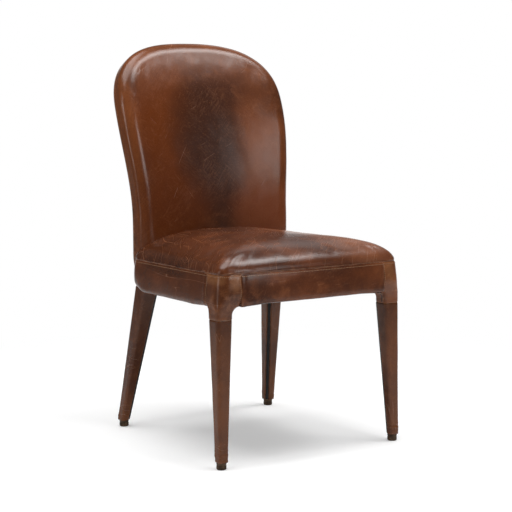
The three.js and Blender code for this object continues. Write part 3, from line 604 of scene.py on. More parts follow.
class Finish(Enum):
    """Every finish of the chair."""

    SEAT = Leather(
        "seat_leather",
        0.0,
        SEAT_STROKES,
        SEAT_SCORES,
        scratches=0.55,
        contrast=0.7,
        roughness=0.26,
        areas=SEAT_PAINTED_LIGHT,
    )
    SKIRT = Leather("skirt_leather", 1.0, middle=paint(100, 53, 28), areas=SKIRT_PAINTED_SHADE)
    CORNER = Leather(
        "corner_leather",
        2.0,
        dark=paint(76, 40, 20),
        middle=paint(114, 64, 35),
        light=paint(140, 86, 52),
        scratches=0.6,
        contrast=1.1,
        areas=CORNER_AREAS,
    )
    BACK = Leather(
        "back_leather", 3.0, BACK_STROKES, BACK_SCORES, scratches=0.35, contrast=0.6, areas=BACK_AREAS
    )
    REAR = Leather("outside_back_leather", 4.0, BACK_STROKES, BACK_SCORES, scratches=0.4, contrast=0.8)
    LEG = Leather(
        "leg_leather",
        5.0,
        LEG_STROKES,
        (),
        paint(72, 36, 15),
        paint(100, 55, 25),
        paint(120, 70, 36),
        scratches=0.4,
        contrast=0.5,
        roughness=0.24,
    )
    THREAD = Pressed("thread", paint(176, 132, 94), paint(128, 88, 58), 600.0, 0.6)
    STRIP = Pressed("closure_tape", paint(26, 23, 21), paint(10, 9, 8), 500.0, 0.75)
    WOOD = Timber("frame_wood")
    BOARD = Pressed("board", paint(170, 138, 96), paint(128, 98, 62), 220.0, 0.8)
    FOAM = Pressed("foam", paint(236, 226, 190), paint(214, 200, 158), 500.0, 0.95)
    WEBBING = Woven("webbing", paint(92, 88, 80), paint(52, 50, 46), 420.0)
    CLOTH = Woven("dust_cloth", paint(40, 39, 40), paint(20, 19, 20), 800.0)
    BRONZE = Pressed("bronze", paint(104, 84, 66), paint(58, 46, 37), 60.0, 0.42, metallic=0.85)
    STEEL = Pressed("steel", paint(176, 178, 182), paint(120, 122, 126), 90.0, 0.35, metallic=1.0)

    @cached_property
    def material(self) -> Material:
        """The finish as a material, made once."""
        return self.value.material()


# Mesh helpers

FULL_FOLD = 300.0


def add_object(name: str, data: bpy.types.ID) -> Piece:
    """Puts a mesh, lamp or camera into the scene as a new object."""
    made = bpy.data.objects.new(name, data)
    bpy.context.collection.objects.link(made)
    return made


def bell(away: float, reach: float) -> float:
    """Falls from 1 at no distance towards 0 past the reach."""
    return math.exp(-((away / reach) ** 2))


def mark_folds(mesh: Mesh) -> None:
    """Notes at each vertex how sharply the surface bends: up to 1 on an edge, down to -1 in a groove."""
    mesh.normal_update()
    fold = mesh.verts.layers.float.new("fold")
    bends = {}
    for vert in mesh.verts:
        total = 0.0
        for edge in vert.link_edges:
            run = edge.other_vert(vert).co - vert.co
            total -= 2 * run.dot(vert.normal) / max(run.length_squared, 1e-9)
        bends[vert] = total / max(1, len(vert.link_edges))
    for vert in mesh.verts:
        near = [bends[edge.other_vert(vert)] for edge in vert.link_edges]
        even = (bends[vert] + sum(near) / max(1, len(near))) / 2
        vert[fold] = max(-1.0, min(1.0, even / FULL_FOLD))


def finish_piece(
    name: str,
    mesh: Mesh,
    finish: Finish,
    thickness: float = 0.0,
    smooth_levels: int = 0,
) -> Piece:
    """Turns a bmesh into a named piece of the chair.

    Args:
        name: The piece's name.
        mesh: Its shape, freed afterwards.
        finish: Its finish.
        thickness: Inward wall thickness in metres, or 0 for a closed form.
        smooth_levels: Levels of subdivision.

    Returns:
        The new object.
    """
    for vert in mesh.verts:
        vert.co.y += DEPTH_SHIFT
    mark_folds(mesh)
    data = bpy.data.meshes.new(name)
    for face in mesh.faces:
        face.smooth = True
    mesh.to_mesh(data)
    mesh.free()
    data.materials.append(finish.material)
    piece = add_object(name, data)
    if thickness:
        wall = piece.modifiers.new("thickness", "SOLIDIFY")
        wall.thickness = thickness
        wall.offset = -1.0
        wall.use_even_offset = False
    if smooth_levels:
        rounding = piece.modifiers.new("rounding", "SUBSURF")
        rounding.levels = smooth_levels
        rounding.render_levels = smooth_levels
    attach(piece, BODY)
    LOG.info("made %s", name)
    return piece


def stations(start: float, end: float, step: float, fine: Sequence[float] = ()) -> list[float]:
    """Places from start to end, evenly spaced between finer ones near both ends.

    Args:
        start: First place.
        end: Last place.
        step: Largest spacing.
        fine: Distances from the ends of the finer places.

    Returns:
        The places in order.
    """
    reach = fine[-1] if fine else 0.0
    count = max(2, math.ceil((end - start - 2 * reach) / step))
    middle = [blend(start + reach, end - reach, i / count) for i in range(count + 1)]
    if not fine:
        return middle
    return [start + d for d in fine[:-1]] + middle + [end - d for d in reversed(fine[:-1])]


LEATHER_THICKNESS = 0.0014
HEM = (0.0, 0.0022, 0.0034, 0.0044, 0.0056, 0.0072, 0.0095, 0.013, 0.018)
HEM_TURN = 0.0034


def hem(distance: float, dip: float = 0.0013, reach: float = 0.0021) -> Pair:
    """Shape of a leather edge that is turned in at a seam.

    Args:
        distance: Way along the leather from the end of its turned-in part.
        dip: Depth of the seam.
        reach: Way over which the leather falls into the seam.

    Returns:
        The distance from the seam, and the depth under the surface.
    """
    away = distance - HEM_TURN
    if away <= 0:
        return 0.0, dip - away
    return away, dip * bell(away, reach)


def lay_grid(across: Sequence[float], down: Sequence[float], place: Placer) -> Mesh:
    """Lays a grid over a surface.

    Args:
        across: Stations of its columns.
        down: Stations of its rows.
        place: Gives the point for a column's and a row's station.

    Returns:
        The shaped mesh.
    """
    mesh = bmesh.new()
    columns, rows = len(across) - 1, len(down) - 1
    bmesh.ops.create_grid(mesh, x_segments=columns, y_segments=rows, size=1.0)
    for vert in mesh.verts:
        column = round((vert.co.x + 1) / 2 * columns)
        row = round((vert.co.y + 1) / 2 * rows)
        vert.co = place(across[column], down[row])
    return mesh


def outward(mesh: Mesh, from_point: Vector | None = None) -> None:
    """Turns the faces of an open sheet away from a point, or those of a closed form outwards."""
    bmesh.ops.recalc_face_normals(mesh, faces=mesh.faces)
    if from_point is None:
        return
    votes = sum(
        math.copysign(face.calc_area(), face.normal.dot(face.calc_center_median() - from_point))
        for face in mesh.faces
    )
    if votes < 0:
        bmesh.ops.reverse_faces(mesh, faces=mesh.faces)


class Loop:
    """Half of a mirrored outline, looked up by the distance along it from its middle."""

    def __init__(self, points: Sequence[Vector], evened: int = 6) -> None:
        """Takes the right half's points in order and evens out their kinks.

        Args:
            points: Points in a plane, the first one on the mirror line.
            evened: How often each point is drawn towards its neighbours.
        """
        line = [Vector(p) for p in points]
        for _ in range(evened):
            middles = [(a + b * 2 + c) / 4 for a, b, c in zip(line, line[1:], line[2:])]
            line = [line[0], *middles, line[-1]]
        self.points = line
        self.stations = [0.0]
        for first, second in zip(line, line[1:]):
            self.stations.append(self.stations[-1] + (second - first).length)
        self.length = self.stations[-1]
        self.turn = -1.0 if line[0].y > line[-1].y else 1.0

    def point(self, distance: float) -> Vector:
        """The point at a distance on the right half."""
        way = min(max(distance, 0.0), self.length)
        low = min(bisect_right(self.stations, way), len(self.stations) - 1) - 1
        span = self.stations[low + 1] - self.stations[low]
        share = (way - self.stations[low]) / span if span else 0.0
        return self.points[low].lerp(self.points[low + 1], share)

    def at(self, distance: float) -> Facing:
        """Point and outward normal at a signed distance.

        Args:
            distance: Way from the mirror line, negative on the left half.

        Returns:
            The point and the unit normal.
        """
        side = -1.0 if distance < 0 else 1.0
        way = abs(distance)
        step = 0.002
        spot = self.point(way)
        if way < step:
            run = Vector((2 * self.point(step).x, 0.0))
        else:
            run = self.point(way + step) - self.point(way - step)
        normal = Vector((run.y, -run.x)).normalized() * self.turn
        return Vector((spot.x * side, spot.y)), Vector((normal.x * side, normal.y))

    def find(self, value: float, axis: int, start: float = 0.0) -> float:
        """The first distance from start where one coordinate passes a value."""
        for station, first, second in zip(self.stations, self.points, self.points[1:]):
            if station < start:
                continue
            if (first[axis] - value) * (second[axis] - value) <= 0 and first[axis] != second[axis]:
                length = (second - first).length
                return station + length * (value - first[axis]) / (second[axis] - first[axis])
        return self.length


def four_sided(border: Placer, across: float, up: float) -> Vector:
    """A point inside a four-sided border.

    Args:
        border: Gives a point of the border from its shares across and up, one of them 0 or 1.
        across: Share from left to right.
        up: Share from bottom to top.

    Returns:
        The point.
    """
    sides = border(0, up) * (1 - across) + border(1, up) * across
    ends = border(across, 0) * (1 - up) + border(across, 1) * up
    low = border(0, 0) * (1 - across) + border(1, 0) * across
    high = border(0, 1) * (1 - across) + border(1, 1) * across
    return sides + ends - low * (1 - up) - high * up


def ripple(point: Vector, scale: float, seed: float = 0.0) -> float:
    """A smooth random value from about -1 to 1 for a place."""
    return noise.noise(point * scale + Vector((seed, seed * 0.7, seed * 1.3)))


@dataclass(frozen=True)
class Settling:
    """How a cover settles over its padding in a short cloth simulation."""

    pressure: float = 4.0
    slack: float = 0.02
    limit: float = 0.004
    voxel: float = 0.0
    frames: int = 20
    bending: float = 1.5
    neighbours: int = 4

    def cloth_copy(self, mesh: Mesh) -> Piece:
        """Makes the object that is simulated, remeshed to even voxels where a size is given."""
        data = bpy.data.meshes.new("cloth_copy")
        mesh.to_mesh(data)
        cover = add_object("cloth_copy", data)
        if self.voxel:
            even = cover.modifiers.new("voxels", "REMESH")
            even.mode = "VOXEL"
            even.voxel_size = self.voxel
            graph = bpy.context.evaluated_depsgraph_get()
            cover.data = bpy.data.meshes.new_from_object(cover.evaluated_get(graph))
            cover.modifiers.clear()
            bpy.data.meshes.remove(data)
        return cover

    def simulate(self, cover: Piece, held: Test) -> list[Vector]:
        """Runs the simulation.

        Args:
            cover: The copy.
            held: Tells whether the cover is sewn down at a point.

        Returns:
            How far each vertex of the copy has moved.
        """
        rest = [vert.co.copy() for vert in cover.data.vertices]
        group = cover.vertex_groups.new(name="held")
        group.add([i for i, spot in enumerate(rest) if held(spot)], 1.0, "REPLACE")
        cloth = cover.modifiers.new("cloth", "CLOTH")
        settings = {
            "quality": 6,
            "mass": 0.4,
            "air_damping": 2.0,
            "bending_stiffness": self.bending,
            "vertex_group_mass": "held",
            "shrink_min": -self.slack,
            "use_pressure": True,
            "uniform_pressure_force": self.pressure,
        }
        for key, value in settings.items():
            setattr(cloth.settings, key, value)
        cloth.settings.effector_weights.gravity = 0.0
        cloth.point_cache.frame_start = 1
        cloth.point_cache.frame_end = self.frames
        scene = bpy.context.scene
        for number in range(1, self.frames + 1):
            scene.frame_set(number)
        result = cover.evaluated_get(bpy.context.evaluated_depsgraph_get()).data
        moves = [vert.co - spot for vert, spot in zip(result.vertices, rest)]
        scene.frame_set(1)
        return moves

    def apply(self, mesh: Mesh, held: Test) -> None:
        """Moves a fine mesh the way that its simulated copy has moved.

        Args:
            mesh: The mesh, changed in place.
            held: Tells whether the cover is sewn down at a point.
        """
        cover = self.cloth_copy(mesh)
        rest = [vert.co.copy() for vert in cover.data.vertices]
        moves = self.simulate(cover, held)
        tree = kdtree.KDTree(len(rest))
        for index, spot in enumerate(rest):
            tree.insert(spot, index)
        tree.balance()
        for vert in mesh.verts:
            if held(vert.co):
                continue
            total, weight = Vector(), 0.0
            for _, index, distance in tree.find_n(vert.co, self.neighbours):
                share = 1 / (distance + 1e-4)
                total += moves[index] * share
                weight += share
            move = total / weight
            if move.length > 0:
                vert.co += move.normalized() * self.limit * math.tanh(move.length / self.limit)
        data = cover.data
        bpy.data.objects.remove(cover)
        bpy.data.meshes.remove(data)


# Shapes shared by the covers


@dataclass(frozen=True)
class SeatShape:
    """Outer form of the seat, in metres from the middle of its front edge."""

    front_half_width: float = 0.261
    rear_half_width: float = 0.243
    depth: float = 0.452
    front_bow: float = 0.012
    front_corner: float = 0.026
    rear_corner: float = 0.034
    seam_height: float = 0.455
    bottom: float = 0.382
    crown: float = 0.067
    crown_power: float = 2.2
    pitch: float = 0.007
    flare: float = 0.007
    edge_radius: float = 0.009
    spine: Pair = (0.4, 0.9)
    puff: float = 0.0016

    def drop(self, y: float) -> float:
        """How far the seat has sunk at a depth."""
        return self.pitch * y / self.depth

    def half_outline(self) -> list[Vector]:
        """Right half of the plan outline, front middle to rear middle."""
        corner_x = self.front_half_width - self.front_corner
        rear_x, rear_y = self.rear_half_width - self.rear_corner, self.depth - self.rear_corner

        def bow(x: float) -> float:
            """Depth of the bowed front edge at x."""
            return -self.front_bow * (1 - (x / self.front_half_width) ** 2)

        front_y = bow(corner_x) + self.front_corner
        turns = [math.pi / 2 * i / 24 for i in range(24)]
        spots = [(corner_x * i / 120, bow(corner_x * i / 120)) for i in range(120)]
        for turn in turns:
            x = corner_x + self.front_corner * math.sin(turn)
            spots.append((x, front_y - self.front_corner * math.cos(turn)))
        for i in range(160):
            x = blend(self.front_half_width, self.rear_half_width, i / 160)
            spots.append((x, blend(front_y, rear_y, i / 160)))
        for turn in turns:
            x = rear_x + self.rear_corner * math.cos(turn)
            spots.append((x, rear_y + self.rear_corner * math.sin(turn)))
        spots += [(rear_x * (1 - i / 80), self.depth) for i in range(81)]
        return [Vector(spot) for spot in spots]

    def half_width(self, y: float) -> float:
        """Half of the seat's width between its round corners, at a depth."""
        front_y = self.front_corner - self.front_bow * (
            1 - (1 - self.front_corner / self.front_half_width) ** 2
        )
        share = (y - front_y) / (self.depth - self.rear_corner - front_y)
        return blend(self.front_half_width, self.rear_half_width, share)

    def rise(self, share: float) -> float:
        """Height over the seam at a share of the way from the spine to the rim."""
        return self.crown * max(0.0, 1 - share**self.crown_power) ** (1 / self.crown_power)

    def share(self, rise: float) -> float:
        """The share at which the dome has a rise."""
        return max(0.0, 1 - (rise / self.crown) ** self.crown_power) ** (1 / self.crown_power)

    def swell(self, share: float) -> float:
        """How far the skirt's face is padded out at a share of its height."""
        return self.puff * math.sin(math.pi * share) ** 0.8 if 0 < share < 1 else 0.0

    def side_profile(self, down: float) -> Triple:
        """Section of the skirt below the seam.

        Args:
            down: Way down the leather from the seam.

        Returns:
            The way outwards, the height, and the downward tilt of the normal.
        """
        face = math.hypot(self.face_height, self.flare)
        if down <= face:
            share = down / face
            return self.flare * share + self.swell(share), self.seam_height - self.face_height * share, 0.0
        if down <= self.side_length:
            angle = (down - face) / self.edge_radius
            out = self.flare - self.edge_radius * (1 - math.cos(angle))
            return out, self.bottom + self.edge_radius * (1 - math.sin(angle)), angle
        under = down - self.side_length
        return self.flare - self.edge_radius - under, self.bottom, math.pi / 2

    @property
    def face_height(self) -> float:
        """Height of the skirt's face from its rounded lower edge to the seam."""
        return self.seam_height - self.bottom - self.edge_radius

    @property
    def side_length(self) -> float:
        """Way down the leather from the seam to the start of its underside."""
        return math.hypot(self.face_height, self.flare) + self.edge_radius * math.pi / 2


@dataclass(frozen=True)
class BackShape:
    """Outer form of the back: a raked, hollowed slab with an arched top and rolled edges."""

    top: float = 0.990
    setback: float = 0.442
    rake: float = 0.121
    rake_start: float = 0.500
    rake_power: float = 2.1
    hollow: float = 0.020
    arch: float = 0.170
    arch_power: float = 2.65
    foot_half_width: float = 0.218
    waist_half_width: float = 0.228
    shoulder_half_width: float = 0.249
    waist_height: float = 0.550
    bottom: float = 0.375
    foot_low: float = 0.382
    foot_high: float = 0.455
    half_thickness: float = 0.031
    front_roll: float = 0.034
    front_roll_depth: float = 0.027
    rear_roll: float = 0.016

    @property
    def shoulder(self) -> float:
        """Height where the arch starts."""
        return self.top - self.arch

    def half_width(self, z: float) -> float:
        """Half of the back's width at a height."""
        if z > self.shoulder:
            share = (z - self.shoulder) / self.arch
            return self.shoulder_half_width * max(0.0, 1 - share**self.arch_power) ** (1 / self.arch_power)
        flare = ease(self.waist_height, self.shoulder, z)
        foot = 1 - ease(self.foot_low, self.foot_high, z)
        width = blend(self.waist_half_width, self.shoulder_half_width, flare)
        return width - (self.waist_half_width - self.foot_half_width) * foot

    def half_outline(self) -> list[Vector]:
        """The outline seen from the front, from its top middle down the right side."""
        points = [Vector((0.0, self.top))]
        power = 2 / self.arch_power
        for i in range(1, 200):
            angle = math.pi / 2 * (1 - i / 200)
            x = self.shoulder_half_width * math.cos(angle) ** power
            points.append(Vector((x, self.shoulder + self.arch * math.sin(angle) ** power)))
        heights = [blend(self.shoulder, self.bottom, i / 300) for i in range(301)]
        return points + [Vector((self.half_width(z), z)) for z in heights]

    def place(self, x: float, height: float, rearwards: float) -> Vector:
        """A point of the back.

        Args:
            x: Way to the right.
            height: Height on the middle surface.
            rearwards: Way behind the middle surface.

        Returns:
            The point.
        """
        span = self.top - self.rake_start
        share = max(0.0, (height - self.rake_start) / span)
        lean = math.atan(self.rake * self.rake_power * share ** (self.rake_power - 1) / span)
        hollow = self.hollow * (1 - min(1.0, abs(x) / self.shoulder_half_width) ** 2)
        y = self.setback + self.rake * share**self.rake_power + hollow
        return Vector((x, y + rearwards * math.cos(lean), height - rearwards * math.sin(lean)))

    def front_depth(self, x: float, height: float) -> float:
        """How far the front surface lies before the middle one."""
        inset = self.half_width(height) - abs(x)
        if inset >= self.front_roll:
            return self.half_thickness
        share = min(1.0, (self.front_roll - inset) / self.front_roll)
        return self.half_thickness - self.front_roll_depth * (1 - math.sqrt(max(0.0, 1 - share**2)))


SEAT = SeatShape()
BACK = BackShape()
SEAT_LOOP = Loop(SEAT.half_outline())
BACK_LOOP = Loop(BACK.half_outline())


def grow_rim(
    mesh: Mesh,
    along: bmesh.types.BMLayerItem,
    edges: Edges,
    place: Callable[[float], Vector],
) -> Edges:
    """Extrudes a border by one ring.

    Args:
        mesh: The mesh.
        along: Vertex layer with the distance along the outline.
        edges: The border's edges.
        place: Gives a new vertex's point from its distance along the outline.

    Returns:
        The new border's edges.
    """
    grown = bmesh.ops.extrude_edge_only(mesh, edges=edges)["geom"]
    verts = {item for item in grown if isinstance(item, bmesh.types.BMVert)}
    for vert in verts:
        vert.co = place(vert[along])
    return [item for item in grown if isinstance(item, bmesh.types.BMEdge) and set(item.verts) <= verts]


# Seat


@dataclass
class SeatCushion:
    """The crowned seat top: leather over foam, closed underneath."""

    columns: int = 84
    rows: int = 72
    rim_rise: float = 0.050
    rims: tuple[float, ...] = (
        0.0465, 0.043, 0.039, 0.035, 0.031, 0.027, 0.023, 0.0192, 0.0156, 0.0124,
        0.0096, 0.0072, 0.0054, 0.004, 0.0029, 0.002, 0.0012, 0.0004,
    )
    flange: float = 0.006
    underside: float = 0.444
    tuck: float = 0.0015
    sewn_rise: float = 0.0025
    settling: Settling = Settling(slack=0.012, limit=0.0022, voxel=0.006)

    def __post_init__(self) -> None:
        """Finds the face's corners, and the outline's angle and radius from both ends of the spine."""
        self.front = SEAT_LOOP.find(SEAT.front_half_width - SEAT.front_corner * 0.3, 0)
        self.rear = SEAT_LOOP.find(SEAT.depth - SEAT.rear_corner * 0.3, 1, self.front)
        outline = [SEAT_LOOP.point(SEAT_LOOP.length * i / 720) for i in range(721)]
        self.tables = []
        for part in SEAT.spine:
            spots = [spot - Vector((0.0, SEAT.depth * part)) for spot in outline]
            self.tables.append([(math.atan2(spot.x, -spot.y), spot.length) for spot in spots])

    def edge_distance(self, across: float, up: float) -> float:
        """Distance along the outline for a place on the border of the face."""
        if up <= 0:
            return blend(-self.front, self.front, across)
        if up >= 1:
            way = 2 * across - 1
            return (-1 if way < 0 else 1) * blend(SEAT_LOOP.length, self.rear, abs(way))
        return (1 if across > 0.5 else -1) * blend(self.front, self.rear, up)

    def point(self, along: float, rise: float) -> Vector:
        """The dome's point at a distance along the outline and a height over the seam."""
        rim, normal = SEAT_LOOP.at(along)
        share = SEAT.share(rise)
        low, high = (SEAT.depth * part for part in SEAT.spine)
        spine = min(high, max(low, rim.y))
        y = spine + (rim.y - spine) * share
        dip = hem(rise + HEM_TURN, 0.0016, 0.0026)[1]
        spot = Vector((rim.x * share - normal.x * dip, y - normal.y * dip, SEAT.seam_height + rise))
        spot.z -= SEAT.drop(spot.y)
        return spot

    def rim(self, across: float, up: float) -> Vector:
        """Plan place of a point on the face's border from its shares across and up."""
        return self.point(self.edge_distance(across, up), self.rim_rise).xy

    def share_at(self, plan: Vector) -> float:
        """Share of the way from the spine to the rim at a plan point."""
        low, high = (SEAT.depth * part for part in SEAT.spine)
        if low <= plan.y <= high:
            return abs(plan.x) / SEAT.half_width(plan.y)
        table = self.tables[0 if plan.y < low else 1]
        spot = plan - Vector((0.0, low if plan.y < low else high))
        angle = math.atan2(abs(spot.x), -spot.y)
        for (a0, r0), (a1, r1) in zip(table, table[1:]):
            if a0 <= angle <= a1:
                return spot.length / blend(r0, r1, (angle - a0) / (a1 - a0 or 1.0))
        return spot.length / table[-1][1]

    def against_back(self, spot: Vector) -> Vector:
        """Moves a point that would lie inside the back to just behind its front surface."""
        height = max(spot.z, BACK.foot_high)
        if abs(spot.x) >= BACK.half_width(height):
            return spot
        front = BACK.place(spot.x, height, -BACK.front_depth(spot.x, height)).y + self.tuck
        return Vector((spot.x, min(spot.y, front), spot.z))

    def is_sewn(self, spot: Vector) -> bool:
        """Tells whether a point lies at the seam, underneath, or in the tuck behind the back's face."""
        if spot.z - SEAT.seam_height + SEAT.drop(spot.y) < self.sewn_rise:
            return True
        return (self.against_back(spot + Vector((0.0, 0.0005, 0.0))) - spot).length < 0.0004

    def build(self) -> None:
        """Builds the cushion."""
        mesh = bmesh.new()
        along = mesh.verts.layers.float.new("along")
        bmesh.ops.create_grid(mesh, x_segments=self.columns, y_segments=self.rows, size=1.0)
        for vert in mesh.verts:
            across, up = (vert.co.x + 1) / 2, (vert.co.y + 1) / 2
            if vert.is_boundary:
                across, up = round(across, 6), round(up, 6)
                vert[along] = self.edge_distance(across, up)
                vert.co = self.point(vert[along], self.rim_rise)
            else:
                plan = four_sided(self.rim, across, up)
                rise = SEAT.rise(self.share_at(plan))
                vert.co = Vector((plan.x, plan.y, SEAT.seam_height + rise - SEAT.drop(plan.y)))
        edges = [edge for edge in mesh.edges if edge.is_boundary]
        for rise in self.rims:
            edges = grow_rim(mesh, along, edges, lambda way: self.point(way, rise))

        def under(way: float) -> Vector:
            """A point of the turned-in seam and the underside."""
            rim, normal = SEAT_LOOP.at(way)
            spot = rim - normal * inset
            return Vector((spot.x, spot.y, height - SEAT.drop(spot.y)))

        seam, turn = SEAT.seam_height, self.flange
        for inset, height in (
            (turn * 0.5, seam - 0.0002),
            (turn, seam - 0.0012),
            (turn * 1.3, self.underside + 0.002),
            (turn * 1.9, self.underside),
        ):
            edges = grow_rim(mesh, along, edges, under)
        for vert in mesh.verts:
            vert.co = self.against_back(vert.co)
        bmesh.ops.edgeloop_fill(mesh, edges=edges)
        outward(mesh)
        self.settling.apply(mesh, self.is_sewn)
        for vert in mesh.verts:
            if not self.is_sewn(vert.co):
                rise = vert.co.z - SEAT.seam_height + SEAT.drop(vert.co.y)
                wave = ripple(vert.co, 14.0, 3.0) * 0.0009 + ripple(vert.co, 42.0, 8.0) * 0.0003
                vert.co += vert.normal * wave * ease(0.003, 0.02, rise)
            vert.co = self.against_back(vert.co)
        piece = finish_piece("seat_cushion", mesh, Finish.SEAT)
        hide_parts("seat_top_panel", "seat_foam")


@dataclass
class Skirts:
    """The three leather borders between the corner panels and round to the back."""

    corner_reach: float = 0.060
    corner_outer: float = 0.268
    gap: float = 0.0001
    underside: float = 0.022
    band: float = 0.010
    band_lift: float = 0.0007
    stitch_line: float = 0.005
    upright_dip: float = 0.0008
    upright_reach: float = 0.0015
    corner_fall: float = 0.003
    side_fall: float = 0.0062
    fall_middle: float = 0.130
    fall_end: float = 0.135
    round_start: float = 0.375
    round_end: float = 0.437
    rear_round: float = 0.021
    rear_flare: float = 0.003

    def __post_init__(self) -> None:
        """Finds the seams on the seat's front and side and the rear end along the outline."""
        self.front_seam = SEAT_LOOP.find(self.corner_outer - self.corner_reach, 0)
        self.side_seam = SEAT_LOOP.find(self.corner_reach, 1, self.front_seam + 0.04)
        self.rear_end = SEAT_LOOP.find(BACK.waist_half_width - 0.004, 0, self.side_seam + 0.2)

    def fall(self, rim: Vector) -> float:
        """How far the lower edge hangs below the seat's plain bottom at a point of the outline."""
        front = self.corner_fall * ease(self.fall_middle, self.corner_outer - self.corner_reach, abs(rim.x))
        return blend(front, self.side_fall, ease(self.corner_reach, self.fall_end, rim.y))

    def point(self, along: float, down: float, depth: float) -> Vector:
        """A point of a skirt.

        Args:
            along: Distance along the outline.
            down: Way down from the seam.
            depth: Way under the surface.

        Returns:
            The point.
        """
        rim, normal = SEAT_LOOP.at(along)
        turned = ease(self.round_start, self.round_end, rim.y)
        shape = replace(
            SEAT,
            edge_radius=blend(SEAT.edge_radius, self.rear_round, turned),
            flare=blend(SEAT.flare, self.rear_flare, turned),
            bottom=SEAT.bottom - self.fall(rim) * (1 - turned),
        )
        out, height, tilt = shape.side_profile(down)
        spot = (rim + normal * (out - depth * math.cos(tilt))).to_3d()
        spot.z = height + depth * math.sin(tilt)
        spot.z -= SEAT.drop(spot.y)
        return spot

    def relief(self, along: float, down: float, near: float) -> float:
        """Depth of the leather's own folds under the plain surface.

        Args:
            along: Distance along the outline.
            down: Way down from the seam.
            near: Way from the nearer end seam.

        Returns:
            The depth, negative where it stands proud.
        """
        spot = Vector((along, down, 0.0))
        pucker = ripple(Vector((along * 3.0, down, 0)), 60.0, 4.0) * 0.0005 * math.exp(-down / 0.010)
        pucker += ripple(Vector((along, down * 3.0, 0)), 60.0, 9.0) * 0.0005 * math.exp(-near / 0.010)
        wave = ripple(spot, 16.0, 2.0) * 0.0009 + ripple(spot, 45.0, 5.0) * 0.00025
        groove = 0.0004 * bell(down - self.stitch_line, 0.0012)
        band = self.band_lift * ease(self.band + 0.0014, self.band, near)
        return pucker + wave * ease(0.0, 0.02, down) + groove - band

    def panel(self, node: str, start: float, end: float, free_end: bool) -> None:
        """Builds one skirt.

        Args:
            node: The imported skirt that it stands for, with its pad.
            start: Distance along the outline of its first seam.
            end: Distance along the outline of its last seam or free end.
            free_end: True where the last end slips behind the back instead of ending in a seam.
        """
        way = 1.0 if end > start else -1.0
        length = abs(end - start)
        whole = length + HEM_TURN + (0.0 if free_end else HEM_TURN)
        columns = stations(0.0, whole, 0.005, HEM)
        rows = stations(0.0, SEAT.side_length + HEM_TURN + self.underside, 0.0045, HEM)

        def place(column: float, row: float) -> Vector:
            """Point of the sheet for a column's and a row's station."""
            from_start, dip_start = hem(column, self.upright_dip, self.upright_reach)
            from_end, dip_end = length, 0.0
            if not free_end:
                from_end, dip_end = hem(whole - column, self.upright_dip, self.upright_reach)
            from_seam, dip_seam = hem(row)
            spot = start + way * min(from_start, length)
            if not from_start:
                spot -= way * (HEM_TURN - column)
            if not from_end:
                spot += way * (HEM_TURN - (whole - column))
            depth = max(dip_start, dip_end, dip_seam)
            depth += self.relief(spot, from_seam, min(from_start, from_end))
            return self.point(spot, from_seam, depth)

        mesh = lay_grid(columns, rows, place)
        outward(mesh, Vector((0.0, SEAT.depth / 2, SEAT.seam_height)))
        piece = finish_piece(f"{node}_cover", mesh, Finish.SKIRT, LEATHER_THICKNESS, 1)
        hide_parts(node, f"{node}_pad")

    def build(self) -> None:
        """Builds all three skirts."""
        front, side = self.front_seam - self.gap, self.side_seam + self.gap
        self.panel("front_skirt", -front, front, False)
        self.panel("left_skirt", -side, -self.rear_end, True)
        self.panel("right_skirt", side, self.rear_end, True)


# Back


